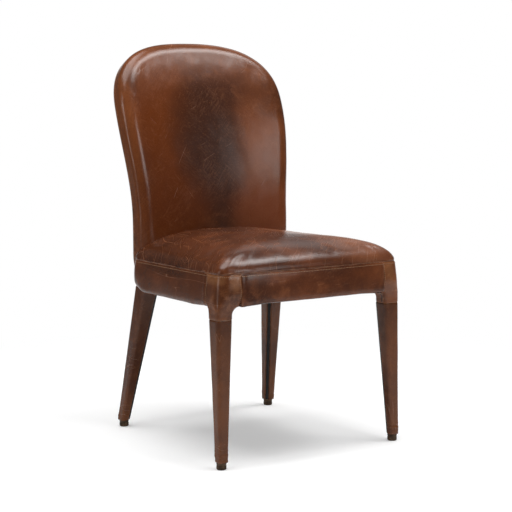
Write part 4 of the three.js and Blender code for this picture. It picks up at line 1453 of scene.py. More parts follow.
@dataclass
class BackPanel:
    """One of the two covers of the back: a curved face and its rolled rim down to the side seam."""

    name: str
    nodes: tuple[str, ...]
    face_depth: float
    profile: tuple[Pair, ...]
    face_lowest: float
    padded: bool
    lowest: float = BACK.bottom + 0.0003
    columns: int = 80
    rows: int = 104
    settling: Settling = Settling(pressure=3.0, slack=0.0, limit=0.0008, bending=4.0)

    def is_sewn(self, spot: Vector) -> bool:
        """Tells whether a point lies on the outer part of the rolled edge or down behind the seat."""
        if spot.z < BACK.foot_high:
            return True
        middle = BACK.place(spot.x, spot.z, 0.0)
        return spot.y - middle.y > -BACK.half_thickness * 0.35

    def rim_point(self, along: float, inset: float, rearwards: float) -> Vector:
        """A point of the rim from its inset and its way rearwards."""
        rim, normal = BACK_LOOP.at(along)
        spot = rim - normal * inset
        return BACK.place(spot.x, spot.y, rearwards)

    def __post_init__(self) -> None:
        """Finds the corners of the face once."""
        self.shoulder = BACK_LOOP.find(BACK.top - BACK.arch * 0.42, 1)
        self.end = BACK_LOOP.find(self.lowest, 1, self.shoulder)

    def edge_distance(self, across: float, up: float) -> float:
        """Distance along the outline for a place on the left, right or top border of the face."""
        if up >= 1:
            return blend(-self.shoulder, self.shoulder, across)
        return (1 if across > 0.5 else -1) * blend(self.end, self.shoulder, up)

    def rim(self, across: float, up: float) -> Vector:
        """Flat place of a point on the face's border from its shares across and up."""
        if up <= 0 and 0 < across < 1:
            return self.rim(0, 0).lerp(self.rim(1, 0), across)
        spot, normal = BACK_LOOP.at(self.edge_distance(across, up))
        return spot - normal * self.profile[0][0]

    def build(self) -> None:
        """Builds the cover."""
        mesh = bmesh.new()
        along = mesh.verts.layers.float.new("along")
        bmesh.ops.create_grid(mesh, x_segments=self.columns, y_segments=self.rows, size=1.0)
        bottom = set()
        for vert in mesh.verts:
            across, up = round((vert.co.x + 1) / 2, 6), round((vert.co.y + 1) / 2, 6)
            if up <= 0:
                bottom.add(vert)
            if across in (0.0, 1.0) or up >= 1:
                vert[along] = self.edge_distance(across, up)
            plan = four_sided(self.rim, across, up)
            vert.co = BACK.place(plan.x, plan.y, self.face_depth)
        edges = [edge for edge in mesh.edges if edge.is_boundary and not set(edge.verts) <= bottom]
        for inset, rearwards in self.profile[1:]:
            edges = grow_rim(mesh, along, edges, lambda way: self.rim_point(way, inset, rearwards))

        def hidden(face: bmesh.types.BMFace) -> bool:
            """Tells whether a face lies behind the seat."""
            middle = face.calc_center_median()
            return middle.z < self.face_lowest and abs(middle.x) < BACK.foot_half_width - 0.006

        bmesh.ops.delete(mesh, geom=list(filter(hidden, mesh.faces)), context="FACES")
        outward(mesh, BACK.place(0, 0.7, -0.3 if self.face_depth > 0 else 0.3))
        if self.padded:
            self.settling.apply(mesh, self.is_sewn)
            for vert in mesh.verts:
                if not self.is_sewn(vert.co):
                    wave = ripple(vert.co, 11.0, 6.0) * 0.0007 + ripple(vert.co, 34.0, 2.0) * 0.0002
                    vert.co += vert.normal * wave
        finish = Finish.BACK if self.padded else Finish.REAR
        piece = finish_piece(self.name, mesh, finish, LEATHER_THICKNESS, 1)
        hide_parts(*self.nodes)


def quarter_roll(width: float, depth: float, face: float, steps: int, way: int) -> list[Pair]:
    """Inset and way rearwards along a rolled edge, from the face to the side.

    Args:
        width: Width of the roll seen from the face.
        depth: Depth of the roll.
        face: Way rearwards of the face.
        steps: Number of steps.
        way: 1 for a face in front, -1 for one behind.

    Returns:
        The steps in order.
    """
    line = []
    for i in range(steps + 1):
        angle = math.pi / 2 * i / steps
        line.append((width * (1 - math.sin(angle)), face + way * depth * (1 - math.cos(angle))))
    return line


def build_back() -> None:
    """Builds the inside and the outside of the back."""
    seam = BACK.half_thickness - BACK.rear_roll
    front = quarter_roll(BACK.front_roll, BACK.front_roll_depth, -BACK.half_thickness, 14, 1)
    start = front[-1][1]
    side = [(0.0, blend(start, seam, share)) for share in (0.2, 0.4, 0.6, 0.75, 0.85, 0.92)]
    turned = [(0.0005, seam - 0.0009), (0.0013, seam - 0.0003)]
    turned += [(0.003, seam - 0.0001), (0.0045, seam - 0.0001)]
    section = (*front, *side, *turned)
    inside = ("inside_back_cover", "back_foam")
    BackPanel("inside_back_cushion", inside, -BACK.half_thickness, section, 0.442, True).build()
    rear = quarter_roll(BACK.rear_roll, BACK.rear_roll, BACK.half_thickness, 8, -1)
    edge = [(0.0004, seam + 0.0009), (0.0013, seam + 0.0004), (0.003, seam + 0.0002), (0.0045, seam + 0.0002)]
    outside = ("outside_back_cover",)
    BackPanel("outside_back_panel", outside, BACK.half_thickness, (*rear[:-1], *edge), 0.0, False).build()


# Corners, legs and small parts


class Part(Enum):
    """Where a column of a corner panel lies."""

    FLANGE = "turned in at a seam"
    WALL = "inner faces over the leg"
    FRONT = "front face"
    CORNER = "round corner"
    SIDE = "side face"


@dataclass
class CornerPanel:
    """The sewn corner that wraps the top of a front leg, from the seat's seam into the leg's sleeve."""

    side: Side
    skirts: Skirts
    low: float = 0.3501
    straight_x: float = 0.2349
    leg_inner_x: float = 0.224
    leg_front_y: float = 0.003
    leg_rear_y: float = 0.047
    leg_corner: float = 0.010
    chamfer: float = 0.006
    flare_start: float = 0.361
    edge_round: float = 0.009
    out_start: float = 0.356
    out_end: float = 0.414
    edge_steps: int = 7

    def __post_init__(self) -> None:
        """Works out the seams and the silhouette of the flare once."""
        self.bottom = SEAT.bottom - self.skirts.corner_fall
        self.front_seam = self.skirts.front_seam + self.skirts.gap
        self.side_seam = self.skirts.side_seam - self.skirts.gap
        self.seam_x = SEAT_LOOP.point(self.front_seam).x
        self.seam_y = SEAT_LOOP.point(self.side_seam).y
        self.corner_start = SEAT_LOOP.find(SEAT.front_half_width - SEAT.front_corner, 0)
        self.corner_end = self.corner_start + SEAT.front_corner * math.pi / 2
        self.edges = [self.flare(math.pi / 2 * i / 24) for i in range(25)]
        start, length = self.low - 0.02, self.flare_start - self.low + 0.02
        self.edges += [(self.leg_inner_x, self.leg_rear_y, start + length * i / 12) for i in range(12)]

    def flare(self, angle: float) -> Triple:
        """Inner x, rear y and height of the flare at an angle along its curve."""
        share = math.cos(angle)
        return (
            blend(self.seam_x, self.leg_inner_x, share),
            blend(self.seam_y, self.leg_rear_y, share),
            self.flare_start + (self.bottom - self.flare_start) * math.sin(angle),
        )

    def reach(self, z: float) -> Pair:
        """Inner x and rear y of the panel at a height."""
        share = (z - self.flare_start) / (self.bottom - self.flare_start)
        share = math.sqrt(max(0.0, 1 - max(0.0, share) ** 2)) if share < 1 else 0.0
        return blend(self.seam_x, self.leg_inner_x, share), blend(self.seam_y, self.leg_rear_y, share)

    def rounding(self, axis: int, value: float, z: float) -> float:
        """Depth of the rounded edge under the face, from the distance to the silhouette."""
        near = min(math.hypot(edge[axis] - value, edge[2] - z) for edge in self.edges)
        if z < self.flare_start:
            limit = self.leg_inner_x if axis == 0 else self.leg_rear_y
            near = min(near, abs(value - limit))
        if near >= self.edge_round:
            return 0.0
        return self.edge_round - math.sqrt(max(0.0, self.edge_round**2 - (self.edge_round - near) ** 2))

    def skirt_spot(self, along: float, z: float) -> Facing:
        """Plan point and normal of the skirt's outer face at a height, without its lower rounding."""
        rim, normal = SEAT_LOOP.at(along)
        share = min(1.0, (SEAT.seam_height - z) / (SEAT.seam_height - self.bottom - SEAT.edge_radius))
        return rim + normal * (SEAT.flare * share + SEAT.swell(share)), normal

    def face(self, part: Part, share: float, offset: float | None, z: float) -> tuple[Vector, Vector, float]:
        """A point on the outer face.

        Args:
            part: The front, the corner or the side.
            share: Share of the way along the part.
            offset: Distance from the panel's own edge, in place of the share.
            z: Height.

        Returns:
            The plan point, its normal, and the depth of its rounded edge.
        """
        down = 1 - ease(self.out_start, self.out_end, z)
        inner, rear = self.reach(z)
        outer_x = self.skirts.corner_outer
        if part is Part.CORNER:
            soft, soft_normal = self.skirt_spot(blend(self.corner_start, self.corner_end, share), z)
            angle = math.pi / 2 * share
            turned = Vector((math.sin(angle), -math.cos(angle)))
            middle = Vector((outer_x - self.leg_corner, self.leg_front_y + self.leg_corner))
            spot = soft.lerp(middle + turned * self.leg_corner, down)
            return spot, soft_normal.lerp(turned, down).normalized(), 0.0
        if part is Part.FRONT:
            first = blend(SEAT.front_half_width - SEAT.front_corner, outer_x - self.leg_corner, down)
            value = inner + offset if offset is not None else blend(inner + self.edge_round, first, share)
            along = SEAT_LOOP.find(min(value, self.straight_x), 0)
            soft, soft_normal = self.skirt_spot(along, z)
            spot = Vector((value, blend(soft.y, self.leg_front_y, down)))
            normal = soft_normal.lerp(Vector((0.0, -1.0)), down).normalized()
            return spot, normal, self.rounding(0, value, z)
        corner_y = SEAT_LOOP.point(self.corner_end).y
        first = blend(corner_y, self.leg_front_y + self.leg_corner, down)
        value = rear - offset if offset is not None else blend(first, rear - self.edge_round, share)
        along = SEAT_LOOP.find(max(value, corner_y), 1, self.corner_end - 0.002)
        soft, soft_normal = self.skirt_spot(along, z)
        spot = Vector((blend(soft.x, outer_x, down), value))
        normal = soft_normal.lerp(Vector((1.0, 0.0)), down).normalized()
        return spot, normal, self.rounding(1, value, z)

    def wall(self, share: float, z: float) -> Facing:
        """A point and normal on the inner faces, from the side edge round to the front edge."""
        inner, rear = self.reach(z)
        side_spot, _, side_depth = self.face(Part.SIDE, 0.0, 0.0, z)
        front_spot, _, front_depth = self.face(Part.FRONT, 0.0, 0.0, z)
        start = Vector((side_spot.x - side_depth, rear))
        end = Vector((inner, front_spot.y + front_depth))
        first, last = Vector((inner + self.chamfer, rear)), Vector((inner, rear - self.chamfer))
        if share < 0.42:
            return start.lerp(first, share / 0.42), Vector((0.0, 1.0))
        if share > 0.58:
            return last.lerp(end, (share - 0.58) / 0.42), Vector((-1.0, 0.0))
        return first.lerp(last, (share - 0.42) / 0.16), Vector((-1.0, 1.0)).normalized()

    def columns(self) -> list[tuple[Part, float, float | None]]:
        """The sheet's columns: a part, a share of it, and a distance from the panel's edge."""
        steps = self.edge_steps
        near = [self.edge_round * (1 - math.cos(math.pi / 2 * i / steps)) for i in range(steps + 1)]
        return [
            (Part.FLANGE, 0.0, 1.0),
            *((Part.WALL, i / 22, None) for i in range(1, 22)),
            (Part.FLANGE, 0.0, 0.0),
            *((Part.FRONT, 0.0, distance) for distance in near),
            *((Part.FRONT, i / 6, None) for i in range(1, 6)),
            *((Part.CORNER, i / 14, None) for i in range(15)),
            *((Part.SIDE, i / 7, None) for i in range(1, 7)),
            *((Part.SIDE, 0.0, distance) for distance in reversed(near)),
            (Part.FLANGE, 0.0, 1.0),
        ]

    def heights(self) -> list[Pair]:
        """The sheet's rows: a height, and a way under the leather's surface at a seam."""
        low, top, turned = self.low, SEAT.seam_height, HEM_TURN + 0.0013
        edge = self.bottom + SEAT.edge_radius
        lower = [self.flare(math.pi / 2 * i / 12)[2] for i in range(13)]
        lower += [
            self.bottom + SEAT.edge_radius * (1 - math.cos(math.pi / 2 * i / 6)) for i in range(1, 7)
        ]
        return [
            (low, turned),
            *((low + step, hem(step + HEM_TURN, 0.0006)[1]) for step in (0.0, 0.001, 0.002, 0.0033, 0.005)),
            (blend(low + 0.005, self.flare_start, 0.5), 0.0),
            *((z, 0.0) for z in lower),
            *((blend(edge, top - 0.012, i / 9), 0.0) for i in range(1, 10)),
            *(
                (top - step, hem(step + HEM_TURN)[1])
                for step in (0.009, 0.0065, 0.0048, 0.0036, 0.0026, 0.0018, 0.001, 0.0)
            ),
            (top, turned),
        ]

    def build(self) -> None:
        """Builds the panel."""
        columns, heights = self.columns(), self.heights()
        name = f"front_{self.side.name.lower()}_corner"
        seed = 3.0 if self.side is Side.LEFT else 21.0

        def place(column: int, row: int) -> Vector:
            """Point of the sheet for the number of a column and of a row."""
            part, share, offset = columns[column]
            z, under = heights[row]
            free = z > self.bottom
            down = 1 - ease(self.out_start, self.out_end, z)
            if part is Part.FLANGE:
                edge = Part.SIDE if offset else Part.FRONT
                spot, normal, depth = self.face(edge, 0.0, 0.0, z)
                depth += under + HEM_TURN + (0.0008 if free else 0.0)
            elif part is Part.WALL:
                spot, normal = self.wall(share, z)
                depth = under
            else:
                spot, normal, depth = self.face(part, share, offset, z)
                dips = [under]
                near = 1.0
                if part is not Part.CORNER and free:
                    inner, rear = self.reach(z)
                    near = spot.x - inner if part is Part.FRONT else rear - spot.y
                    dips.append(hem(near + HEM_TURN, 0.0008, 0.0015)[1] * ease(0.0, 0.004, z - self.bottom))
                wave = ripple(Vector((spot.x * 1.2, spot.y * 1.2, z)), 38.0, seed) * 0.0007
                wave += ripple(Vector((spot.x, spot.y, z * 1.6)), 95.0, seed) * 0.00035
                groove = 0.0004 * bell(SEAT.seam_height - z - 0.005, 0.0012)
                depth += max(dips) + wave * ease(self.low, self.low + 0.012, z) + groove
                if free:
                    depth += 0.0003 * bell(near - 0.003, 0.0011)
            spot = spot - normal * depth
            return Vector((spot.x * self.side.value, spot.y, z - SEAT.drop(spot.y) * (1 - down)))

        mesh = lay_grid(range(len(columns)), range(len(heights)), place)

        def hidden(face: bmesh.types.BMFace) -> bool:
            """Tells whether a face lies deep inside, above the leg."""
            middle = face.calc_center_median()
            inside = min(self.skirts.corner_outer - abs(middle.x), middle.y + 0.012)
            return (
                min(vert.co.z for vert in face.verts) > self.bottom - 0.0012
                and abs(middle.x) > self.seam_x + 0.0004
                and inside > self.edge_round + HEM_TURN * 2 + 0.003
            )

        bmesh.ops.delete(mesh, geom=list(filter(hidden, mesh.faces)), context="FACES")
        bmesh.ops.remove_doubles(mesh, verts=mesh.verts, dist=1e-6)
        outward(mesh, Vector((0.24 * self.side.value, 0.024, 0.40)))
        piece = finish_piece(f"{name}_panel", mesh, Finish.CORNER, LEATHER_THICKNESS, 1)
        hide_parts(f"{name}_patch")


@dataclass(frozen=True)
class LegShape:
    """One leg on the right side, as a tapering square section with round corners."""

    foot_width: float
    top_width: float
    top: float
    foot: Pair
    head: Pair
    inner_way: int
    glide: float = 0.017
    foot_corner: float = 0.006
    top_corner: float = 0.010
    strip: float = 0.008

    def section(self, z: float) -> tuple[Vector, float, float]:
        """Middle, half width and corner radius at a height."""
        share = min(1.0, max(0.0, (z - self.glide) / (self.top - self.glide)))
        middle = Vector(self.foot).lerp(Vector(self.head), share)
        half = blend(self.foot_width, self.top_width, share) / 2
        return middle, half, blend(self.foot_corner, self.top_corner, share)

    @property
    def cut(self) -> float:
        """Leg length of the chamfer across the inner corner."""
        return (self.strip + 2 * LEATHER_THICKNESS) / math.sqrt(2)

    def ring(self, way: float, z: float) -> Facing:
        """Point and normal round the leg.

        Args:
            way: From -0.5 at one edge of the chamfer, over three corners, to 3 at its other edge. The
                first half of each whole number is a corner's arc and the second half the next face.
            z: Height.

        Returns:
            The plan point and the normal.
        """
        middle, half, corner = self.section(z)
        corners = [(1, -1), (1, 1), (-1, 1), (-1, -1)]
        first = (corners.index((-1, self.inner_way)) + 1) % 4

        def arc(number: int, share: float) -> Facing:
            """Point and normal on the arc of one corner."""
            along_x, along_y = corners[(first + number) % 4]
            start = math.pi / 2 * ((first + number) % 4 - 1)
            angle = start + math.pi / 2 * share
            normal = Vector((math.cos(angle), math.sin(angle)))
            spot = middle + Vector((along_x * (half - corner), along_y * (half - corner))) + normal * corner
            return spot, normal

        inner = middle + Vector((-half, self.inner_way * half))
        if way < 0:
            end, normal = arc(0, 0.0)
            edge = inner + (end - inner).normalized() * self.cut
            return edge.lerp(end, (way + 0.5) * 2), normal
        number = min(2, math.floor(way))
        share = way - number
        if share <= 0.5:
            return arc(number, share * 2)
        start, normal = arc(number, 1.0)
        if number == 2:
            end = inner + (start - inner).normalized() * self.cut
        else:
            end = arc(number + 1, 0.0)[0]
        return start.lerp(end, (share - 0.5) * 2), normal

    def chamfer(self, z: float) -> tuple[Vector, Vector, Vector]:
        """Middle, outward way and sideways way of the chamfer at a height."""
        middle, half, _ = self.section(z)
        outwards = Vector((-1.0, float(self.inner_way))).normalized()
        spot = middle + Vector((-1.0, float(self.inner_way))) * (half - self.cut / 2)
        return spot, outwards, Vector((-outwards.y, outwards.x))


FRONT_LEG = LegShape(
    foot_width=0.0245,
    top_width=0.044,
    top=0.350,
    foot=(0.25455, 0.00925),
    head=(0.246, 0.025),
    inner_way=1,
)
REAR_FACE = BACK.place(BACK.foot_half_width, BACK.bottom, BACK.half_thickness).y
REAR_LEG = LegShape(
    foot_width=0.0265,
    top_width=0.0485,
    top=0.375,
    foot=(0.218 - 0.02425 + 0.034, REAR_FACE - 0.02425 + 0.0685),
    head=(0.218 - 0.02425, REAR_FACE - 0.02425),
    inner_way=-1,
)


@dataclass
class LegDress:
    """A leg's sleeve, the black closure up its inner corner and its glide."""

    shape: LegShape
    side: Side
    name: str
    gap: float = 0.0001
    turned_in: float = 0.003
    strip_start: float = 0.0178
    strip_proud: float = 0.0016
    ankle: float = 0.046
    glide_radius: float = 0.012

    def middle(self, z: float) -> Vector:
        """The leg's middle at a height, on its own side."""
        middle = self.shape.section(z)[0]
        return Vector((middle.x * self.side.value, middle.y, z))

    def sleeve(self) -> None:
        """Builds the leather sleeve."""
        shape = self.shape
        ways = [-0.5, -0.485, -0.465, -0.44, -0.38, -0.25, -0.12]
        for number in range(3):
            ways += [number + 0.5 * i / 6 for i in range(7)]
            ways += [number + 0.5 + 0.5 * share for share in (0.15, 0.38, 0.62, 0.85)]
        ways = ways[:-2] + [2.88, 2.94, 2.965, 2.985, 3.0]
        bottom, top = shape.glide + self.gap, shape.top - self.gap
        ways = [-0.5, *ways, 3.0]
        rows = [bottom + step for step in (0, 0.0006, 0.0014, 0.0024)]
        rows += stations(bottom + 0.004, self.ankle, 0.0021)
        rows += stations(self.ankle + 0.004, top - 0.010, 0.0075)
        rows += [top - step for step in (0.0075, 0.0055, 0.004, 0.0027, 0.0016, 0.0008, 0.0, 0.0)]
        seed = 5.0 * self.side.value + (11.0 if shape.inner_way > 0 else 31.0)

        def place(column: int, row: int) -> Vector:
            """Point of the sheet for the number of a column and of a row."""
            way, z = ways[column], rows[row]
            spot, normal = shape.ring(way, z)
            edge = min(way + 0.5, 3.0 - way) * shape.section(z)[1] * 2
            depth = 0.0008 * bell(edge, 0.0013)
            depth += 0.0006 * bell(top - z, 0.0018)
            depth += 0.0009 * bell(z - bottom, 0.0012)
            if column in (0, len(ways) - 1) or row == len(rows) - 1:
                depth += self.turned_in
            low = 1 - ease(0.012, self.ankle, z - bottom)
            folds = ripple(Vector((spot.x * 0.5, spot.y * 0.5, z * 2.4)), 80.0, seed)
            folds += 0.5 * ripple(Vector((spot.x, spot.y, z * 2.0)), 190.0, seed)
            depth -= low * (0.0007 + folds * 0.0011)
            swells = ripple(Vector((spot.x, spot.y, z * 0.4)), 55.0, seed)
            depth += swells * 0.00045 * ease(0.0, 0.05, top - z)
            spot = spot - normal * depth
            return Vector((spot.x * self.side.value, spot.y, z))

        mesh = lay_grid(range(len(ways)), range(len(rows)), place)
        outward(mesh, self.middle(0.2))
        piece = finish_piece(f"{self.name}_sleeve", mesh, Finish.LEG, LEATHER_THICKNESS, 1)
        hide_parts(f"{self.name}_leg_cover")

    def closure(self) -> None:
        """Builds the ribbed black tape."""
        shape = self.shape
        half = shape.strip / 2
        across = [-1, -0.96, -0.82, -0.6, -0.3, 0, 0.3, 0.6, 0.82, 0.96, 1]
        end = shape.top - self.gap - 0.0004
        along = stations(self.strip_start, end, 0.0032, (0.0, 0.0007, 0.0018))

        def place(way: float, z: float) -> Vector:
            """Point of the tape for a way across and a height."""
            spot, outwards, sideways = shape.chamfer(z)
            proud = self.strip_proud * (1 - abs(way) ** 5) - 0.0012 * abs(way) ** 12
            proud += 0.00035 * bell(way, 0.16)
            near = min(z - self.strip_start, end - z)
            proud -= 0.0011 * bell(near, 0.0006)
            spot = spot + sideways * (half * way) + outwards * proud
            return Vector((spot.x * self.side.value, spot.y, z))

        mesh = lay_grid(across, along, place)
        outward(mesh, self.middle(0.2))
        piece = finish_piece(f"{self.name}_closure", mesh, Finish.STRIP, 0.0012, 1)
        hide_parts(f"{self.name}_closure_strip")

    def glide(self) -> None:
        """Turns the bronze glide with its grooved rim and its stem."""
        r, top = self.glide_radius, self.shape.glide
        profile = [
            (0.0, 0.0), (r * 0.55, 0.0), (r - 0.0032, 0.0001), (r - 0.0018, 0.0005), (r - 0.0008, 0.0012),
            (r - 0.0002, 0.0022), (r, 0.0033), (r, 0.0094), (r - 0.0002, 0.0098), (r - 0.0009, 0.0102),
            (r - 0.0011, 0.0110), (r - 0.0009, 0.0118), (r - 0.0002, 0.0122), (r, 0.0126),
            (r, top - 0.0008), (r - 0.0003, top - 0.0003), (r - 0.0009, top), (0.0042, top),
            (0.004, top + 0.0004), (0.004, top + 0.0215), (0.0034, top + 0.022), (0.0, top + 0.022),
        ]  # fmt: skip
        centre = self.middle(top) * Vector((1, 1, 0))
        mesh = bmesh.new()
        verts = [mesh.verts.new(centre + Vector((out, 0.0, z))) for out, z in profile]
        edges = [mesh.edges.new(pair) for pair in zip(verts, verts[1:])]
        turn = {"cent": centre, "axis": (0, 0, 1), "angle": math.tau, "steps": 48}
        bmesh.ops.spin(mesh, geom=[*verts, *edges], use_merge=True, **turn)
        bmesh.ops.remove_doubles(mesh, verts=mesh.verts, dist=1e-6)
        outward(mesh)
        piece = finish_piece(f"{self.name}_turned_glide", mesh, Finish.BRONZE)
        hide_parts(f"{self.name}_glide")

    def build(self) -> None:
        """Builds all three pieces."""
        self.sleeve()
        self.closure()
        self.glide()


@dataclass(frozen=True)
class Stitch:
    """One stitch: its middle, the way it runs and the way out of the leather."""

    place: Vector
    run: Vector
    out: Vector

    @classmethod
    def on(cls, spot: Callable[[float], Vector], way: float, out: Vector) -> "Stitch":
        """A stitch at a distance along a seam, whose points spot gives."""
        return cls(spot(way), spot(way + 0.001) - spot(way - 0.001), out)


class Covers:
    """The finished leather covers, to lay small parts on."""

    def __init__(self, names: Iterable[str]) -> None:
        """Takes the pieces' surfaces as they are rendered."""
        bpy.context.view_layer.update()
        graph = bpy.context.evaluated_depsgraph_get()
        self.trees = [BVHTree.FromObject(bpy.data.objects[name], graph) for name in names]

    def land(self, spot: Vector, out: Vector, reach: float = 0.012) -> Facing | None:
        """The first surface met on the way in towards a point.

        Args:
            spot: The point, without the depth shift.
            out: Unit way out of the chair.
            reach: How far outside the search starts.

        Returns:
            The point and the normal on the surface, or nothing where none is met.
        """
        start = spot + out * reach + Vector((0.0, DEPTH_SHIFT, 0.0))
        best = None
        for tree in self.trees:
            place, normal, _, distance = tree.ray_cast(start, -out, reach * 2)
            if place is not None and (best is None or distance < best[2]):
                best = (place - Vector((0.0, DEPTH_SHIFT, 0.0)), normal, distance)
        return best[:2] if best else None


@dataclass
class Sewing:
    """Rows of topstitching, each row one piece."""

    skirts: Skirts
    covers: Covers
    pitch: float = 0.0046
    length: float = 0.0036
    thickness: float = 0.0013
    proud: float = 0.0003
    beside: float = 0.003

    def row(self, name: str, stitches: Iterable[Stitch], slot: str = "seat_leather") -> None:
        """Builds a row of stitches as one piece.

        Args:
            name: The piece's name.
            stitches: The stitches, which are moved onto the covers.
            slot: Not used.
        """
        mesh = bmesh.new()
        for stitch in stitches:
            found = self.covers.land(stitch.place, stitch.out)
            if found is None:
                continue
            place, normal = found
            run = (stitch.run - normal * stitch.run.dot(normal)).normalized()
            across = normal.cross(run).normalized()
            turn = Matrix((across, run.cross(across), run)).transposed().to_4x4()
            size = Matrix.Diagonal((self.thickness / 2, self.thickness * 0.4, self.length / 2, 1))
            spot = Matrix.Translation(place + normal * self.proud)
            bmesh.ops.create_uvsphere(
                mesh, u_segments=6, v_segments=5, radius=1.0, matrix=spot @ turn @ size
            )
        finish_piece(name, mesh, Finish.THREAD)

    def seat_row(self) -> list[Stitch]:
        """Stitches under the seat's seam, from one end of the back round to the other."""
        rear = self.skirts.rear_end
        count = round(2 * rear / self.pitch)
        ways = [-rear + 2 * rear * (i + 0.5) / count for i in range(count)]

        def spot(along: float) -> Vector:
            """Point on the skirt below the seam."""
            return self.skirts.point(along, self.skirts.stitch_line, 0.0)

        return [Stitch.on(spot, way, SEAT_LOOP.at(way)[1].to_3d()) for way in ways]

    def corner_rows(self, corner: CornerPanel) -> list[Stitch]:
        """Stitches down both upright seams of a corner panel."""
        lowest = SEAT.side_length - SEAT.edge_radius * 1.2
        first = self.skirts.stitch_line + 0.0025
        ways = [first + self.pitch * (i + 0.5) for i in range(round((lowest - first) / self.pitch))]
        found = []
        for seam, beside in ((corner.front_seam, self.beside), (corner.side_seam, -self.beside)):
            along = (seam + beside) * corner.side.value

            def spot(down: float) -> Vector:
                """Point on the skirt beside the seam."""
                return self.skirts.point(along, down, 0.0)

            found += [Stitch.on(spot, way, SEAT_LOOP.at(along)[1].to_3d()) for way in ways]
        return found

    def back_row(self) -> list[Stitch]:
        """Stitches along the outside back's edge, up one side, over the top and down the other."""
        end = BACK_LOOP.find(BACK.foot_high, 1)
        count = round(2 * end / self.pitch)
        ways = [-end + 2 * end * (i + 0.5) / count for i in range(count)]

        def spot(along: float) -> Vector:
            """Point on the outside back beside its edge."""
            rim, normal = BACK_LOOP.at(along)
            flat = rim - normal * (BACK.rear_roll + 0.004)
            return BACK.place(flat.x, flat.y, BACK.half_thickness)

        return [Stitch.on(spot, way, Vector((0.0, 1.0, 0.0))) for way in ways]

    def build(self) -> None:
        """Builds every row."""
        self.row("seat_topstitch", self.seat_row())
        for side in Side:
            corner = CornerPanel(side, self.skirts)
            self.row(f"{side.name.lower()}_corner_stitches", self.corner_rows(corner))
        self.row("outside_back_topstitch", self.back_row(), "back_leather")


@dataclass
class DustCloth:
    """The black cloth stretched under the seat."""

    height: float = 0.3812
    front: float = 0.014
    inner_x: float = 0.2063
    notch_y: float = 0.0617
    rim: float = 0.0407
    edge_x: float = 0.247
    rear_edge_x: float = 0.229
    leg_x: float = 0.1678
    leg_y: float = 0.4275
    lift: float = 0.003
    lift_length: float = 0.045
    sag: float = 0.004
    thickness: float = 0.0008

    def build(self) -> None:
        """Builds the cloth."""
        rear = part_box("dust_cover")[1].y - DEPTH_SHIFT
        middle = [self.leg_x * i / 16 for i in range(-16, 17)]
        outer = [blend(self.leg_x, self.inner_x, i / 4) for i in range(1, 5)]
        outer += [self.inner_x + self.rim * i / 4 for i in range(1, 5)]
        across = [-x for x in reversed(outer)] + middle + outer
        along = [blend(self.front, self.notch_y, i / 5) for i in range(6)]
        along += [blend(self.notch_y, self.leg_y, i / 32) for i in range(1, 33)]
        along += [blend(self.leg_y, rear, i / 4) for i in range(1, 5)]

        def place(x: float, y: float) -> Vector:
            """Point of the cloth for a place across and along it."""
            if abs(x) > self.inner_x:
                edge = blend(self.edge_x, self.rear_edge_x, (y - self.notch_y) / (self.leg_y - self.notch_y))
                x = math.copysign(blend(self.inner_x, edge, (abs(x) - self.inner_x) / self.rim), x)
            hollow = (1 - (x / 0.25) ** 2) * math.sin(math.pi * min(1.0, max(0.0, y / rear)))
            ripples = ripple(Vector((x, y, 0.0)), 22.0, 3.0) * 0.0007
            lift = self.lift * ease(self.leg_x, self.inner_x, abs(x))
            lift *= ease(self.leg_y - self.lift_length, self.leg_y, y)
            return Vector((x, y, self.height - SEAT.drop(y) + lift + (ripples - self.sag) * max(0.0, hollow)))

        mesh = lay_grid(across, along, place)

        def at_leg(face: bmesh.types.BMFace) -> bool:
            """Tells whether a face lies where a leg stands."""
            spot = face.calc_center_median()
            side = abs(spot.x)
            return side > self.inner_x and spot.y < self.notch_y or side > self.leg_x and spot.y > self.leg_y

        bmesh.ops.delete(mesh, geom=list(filter(at_leg, mesh.faces)), context="FACES")
        outward(mesh, Vector((0, 0.2, 1.0)))
        area = sum(face.calc_area() for face in mesh.faces)
        piece = finish_piece("under_cloth", mesh, Finish.CLOTH, self.thickness)
        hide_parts("dust_cover")
        rear - self.front


SEWN_COVERS = (
    "front_skirt_cover",
    "left_skirt_cover",
    "right_skirt_cover",
    "front_left_corner_panel",
    "front_right_corner_panel",
    "outside_back_panel",
)

CARRIED_FINISHES = (
    ("glide", Finish.BRONZE),
    ("bolt", Finish.STEEL),
    ("strap", Finish.WEBBING),
    ("closure_strip", Finish.STRIP),
    ("dust_cover", Finish.CLOTH),
    ("foam", Finish.FOAM),
    ("pad", Finish.FOAM),
    ("board", Finish.BOARD),
    ("bent_back", Finish.BOARD),
    ("leg_cover", Finish.LEG),
    ("back_cover", Finish.BACK),
    ("skirt", Finish.SEAT),
    ("seat_top", Finish.SEAT),
    ("patch", Finish.SEAT),
)


def dress_frame() -> None:
    """Gives every carried-over node its material by what it is."""
    for name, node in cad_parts.items():
        finish = next((kind for word, kind in CARRIED_FINISHES if word in name), Finish.WOOD)
        node.data.materials.clear()
        node.data.materials.append(finish.material)


# Studio


WHITE = (1.0, 1.0, 1.0, 1.0)


def hang(name: str, data: bpy.types.ID, place: Triple, aim: Triple) -> Piece:
    """Puts a lamp or camera in the scene.

    Args:
        name: Its name.
        data: The lamp or camera.
        place: Where it is.
        aim: The point it looks at.

    Returns:
        The object that holds it.
    """
    holder = add_object(name, data)
    holder.location = place
    holder.rotation_euler = (Vector(aim) - Vector(place)).to_track_quat("-Z", "Y").to_euler()
    return holder


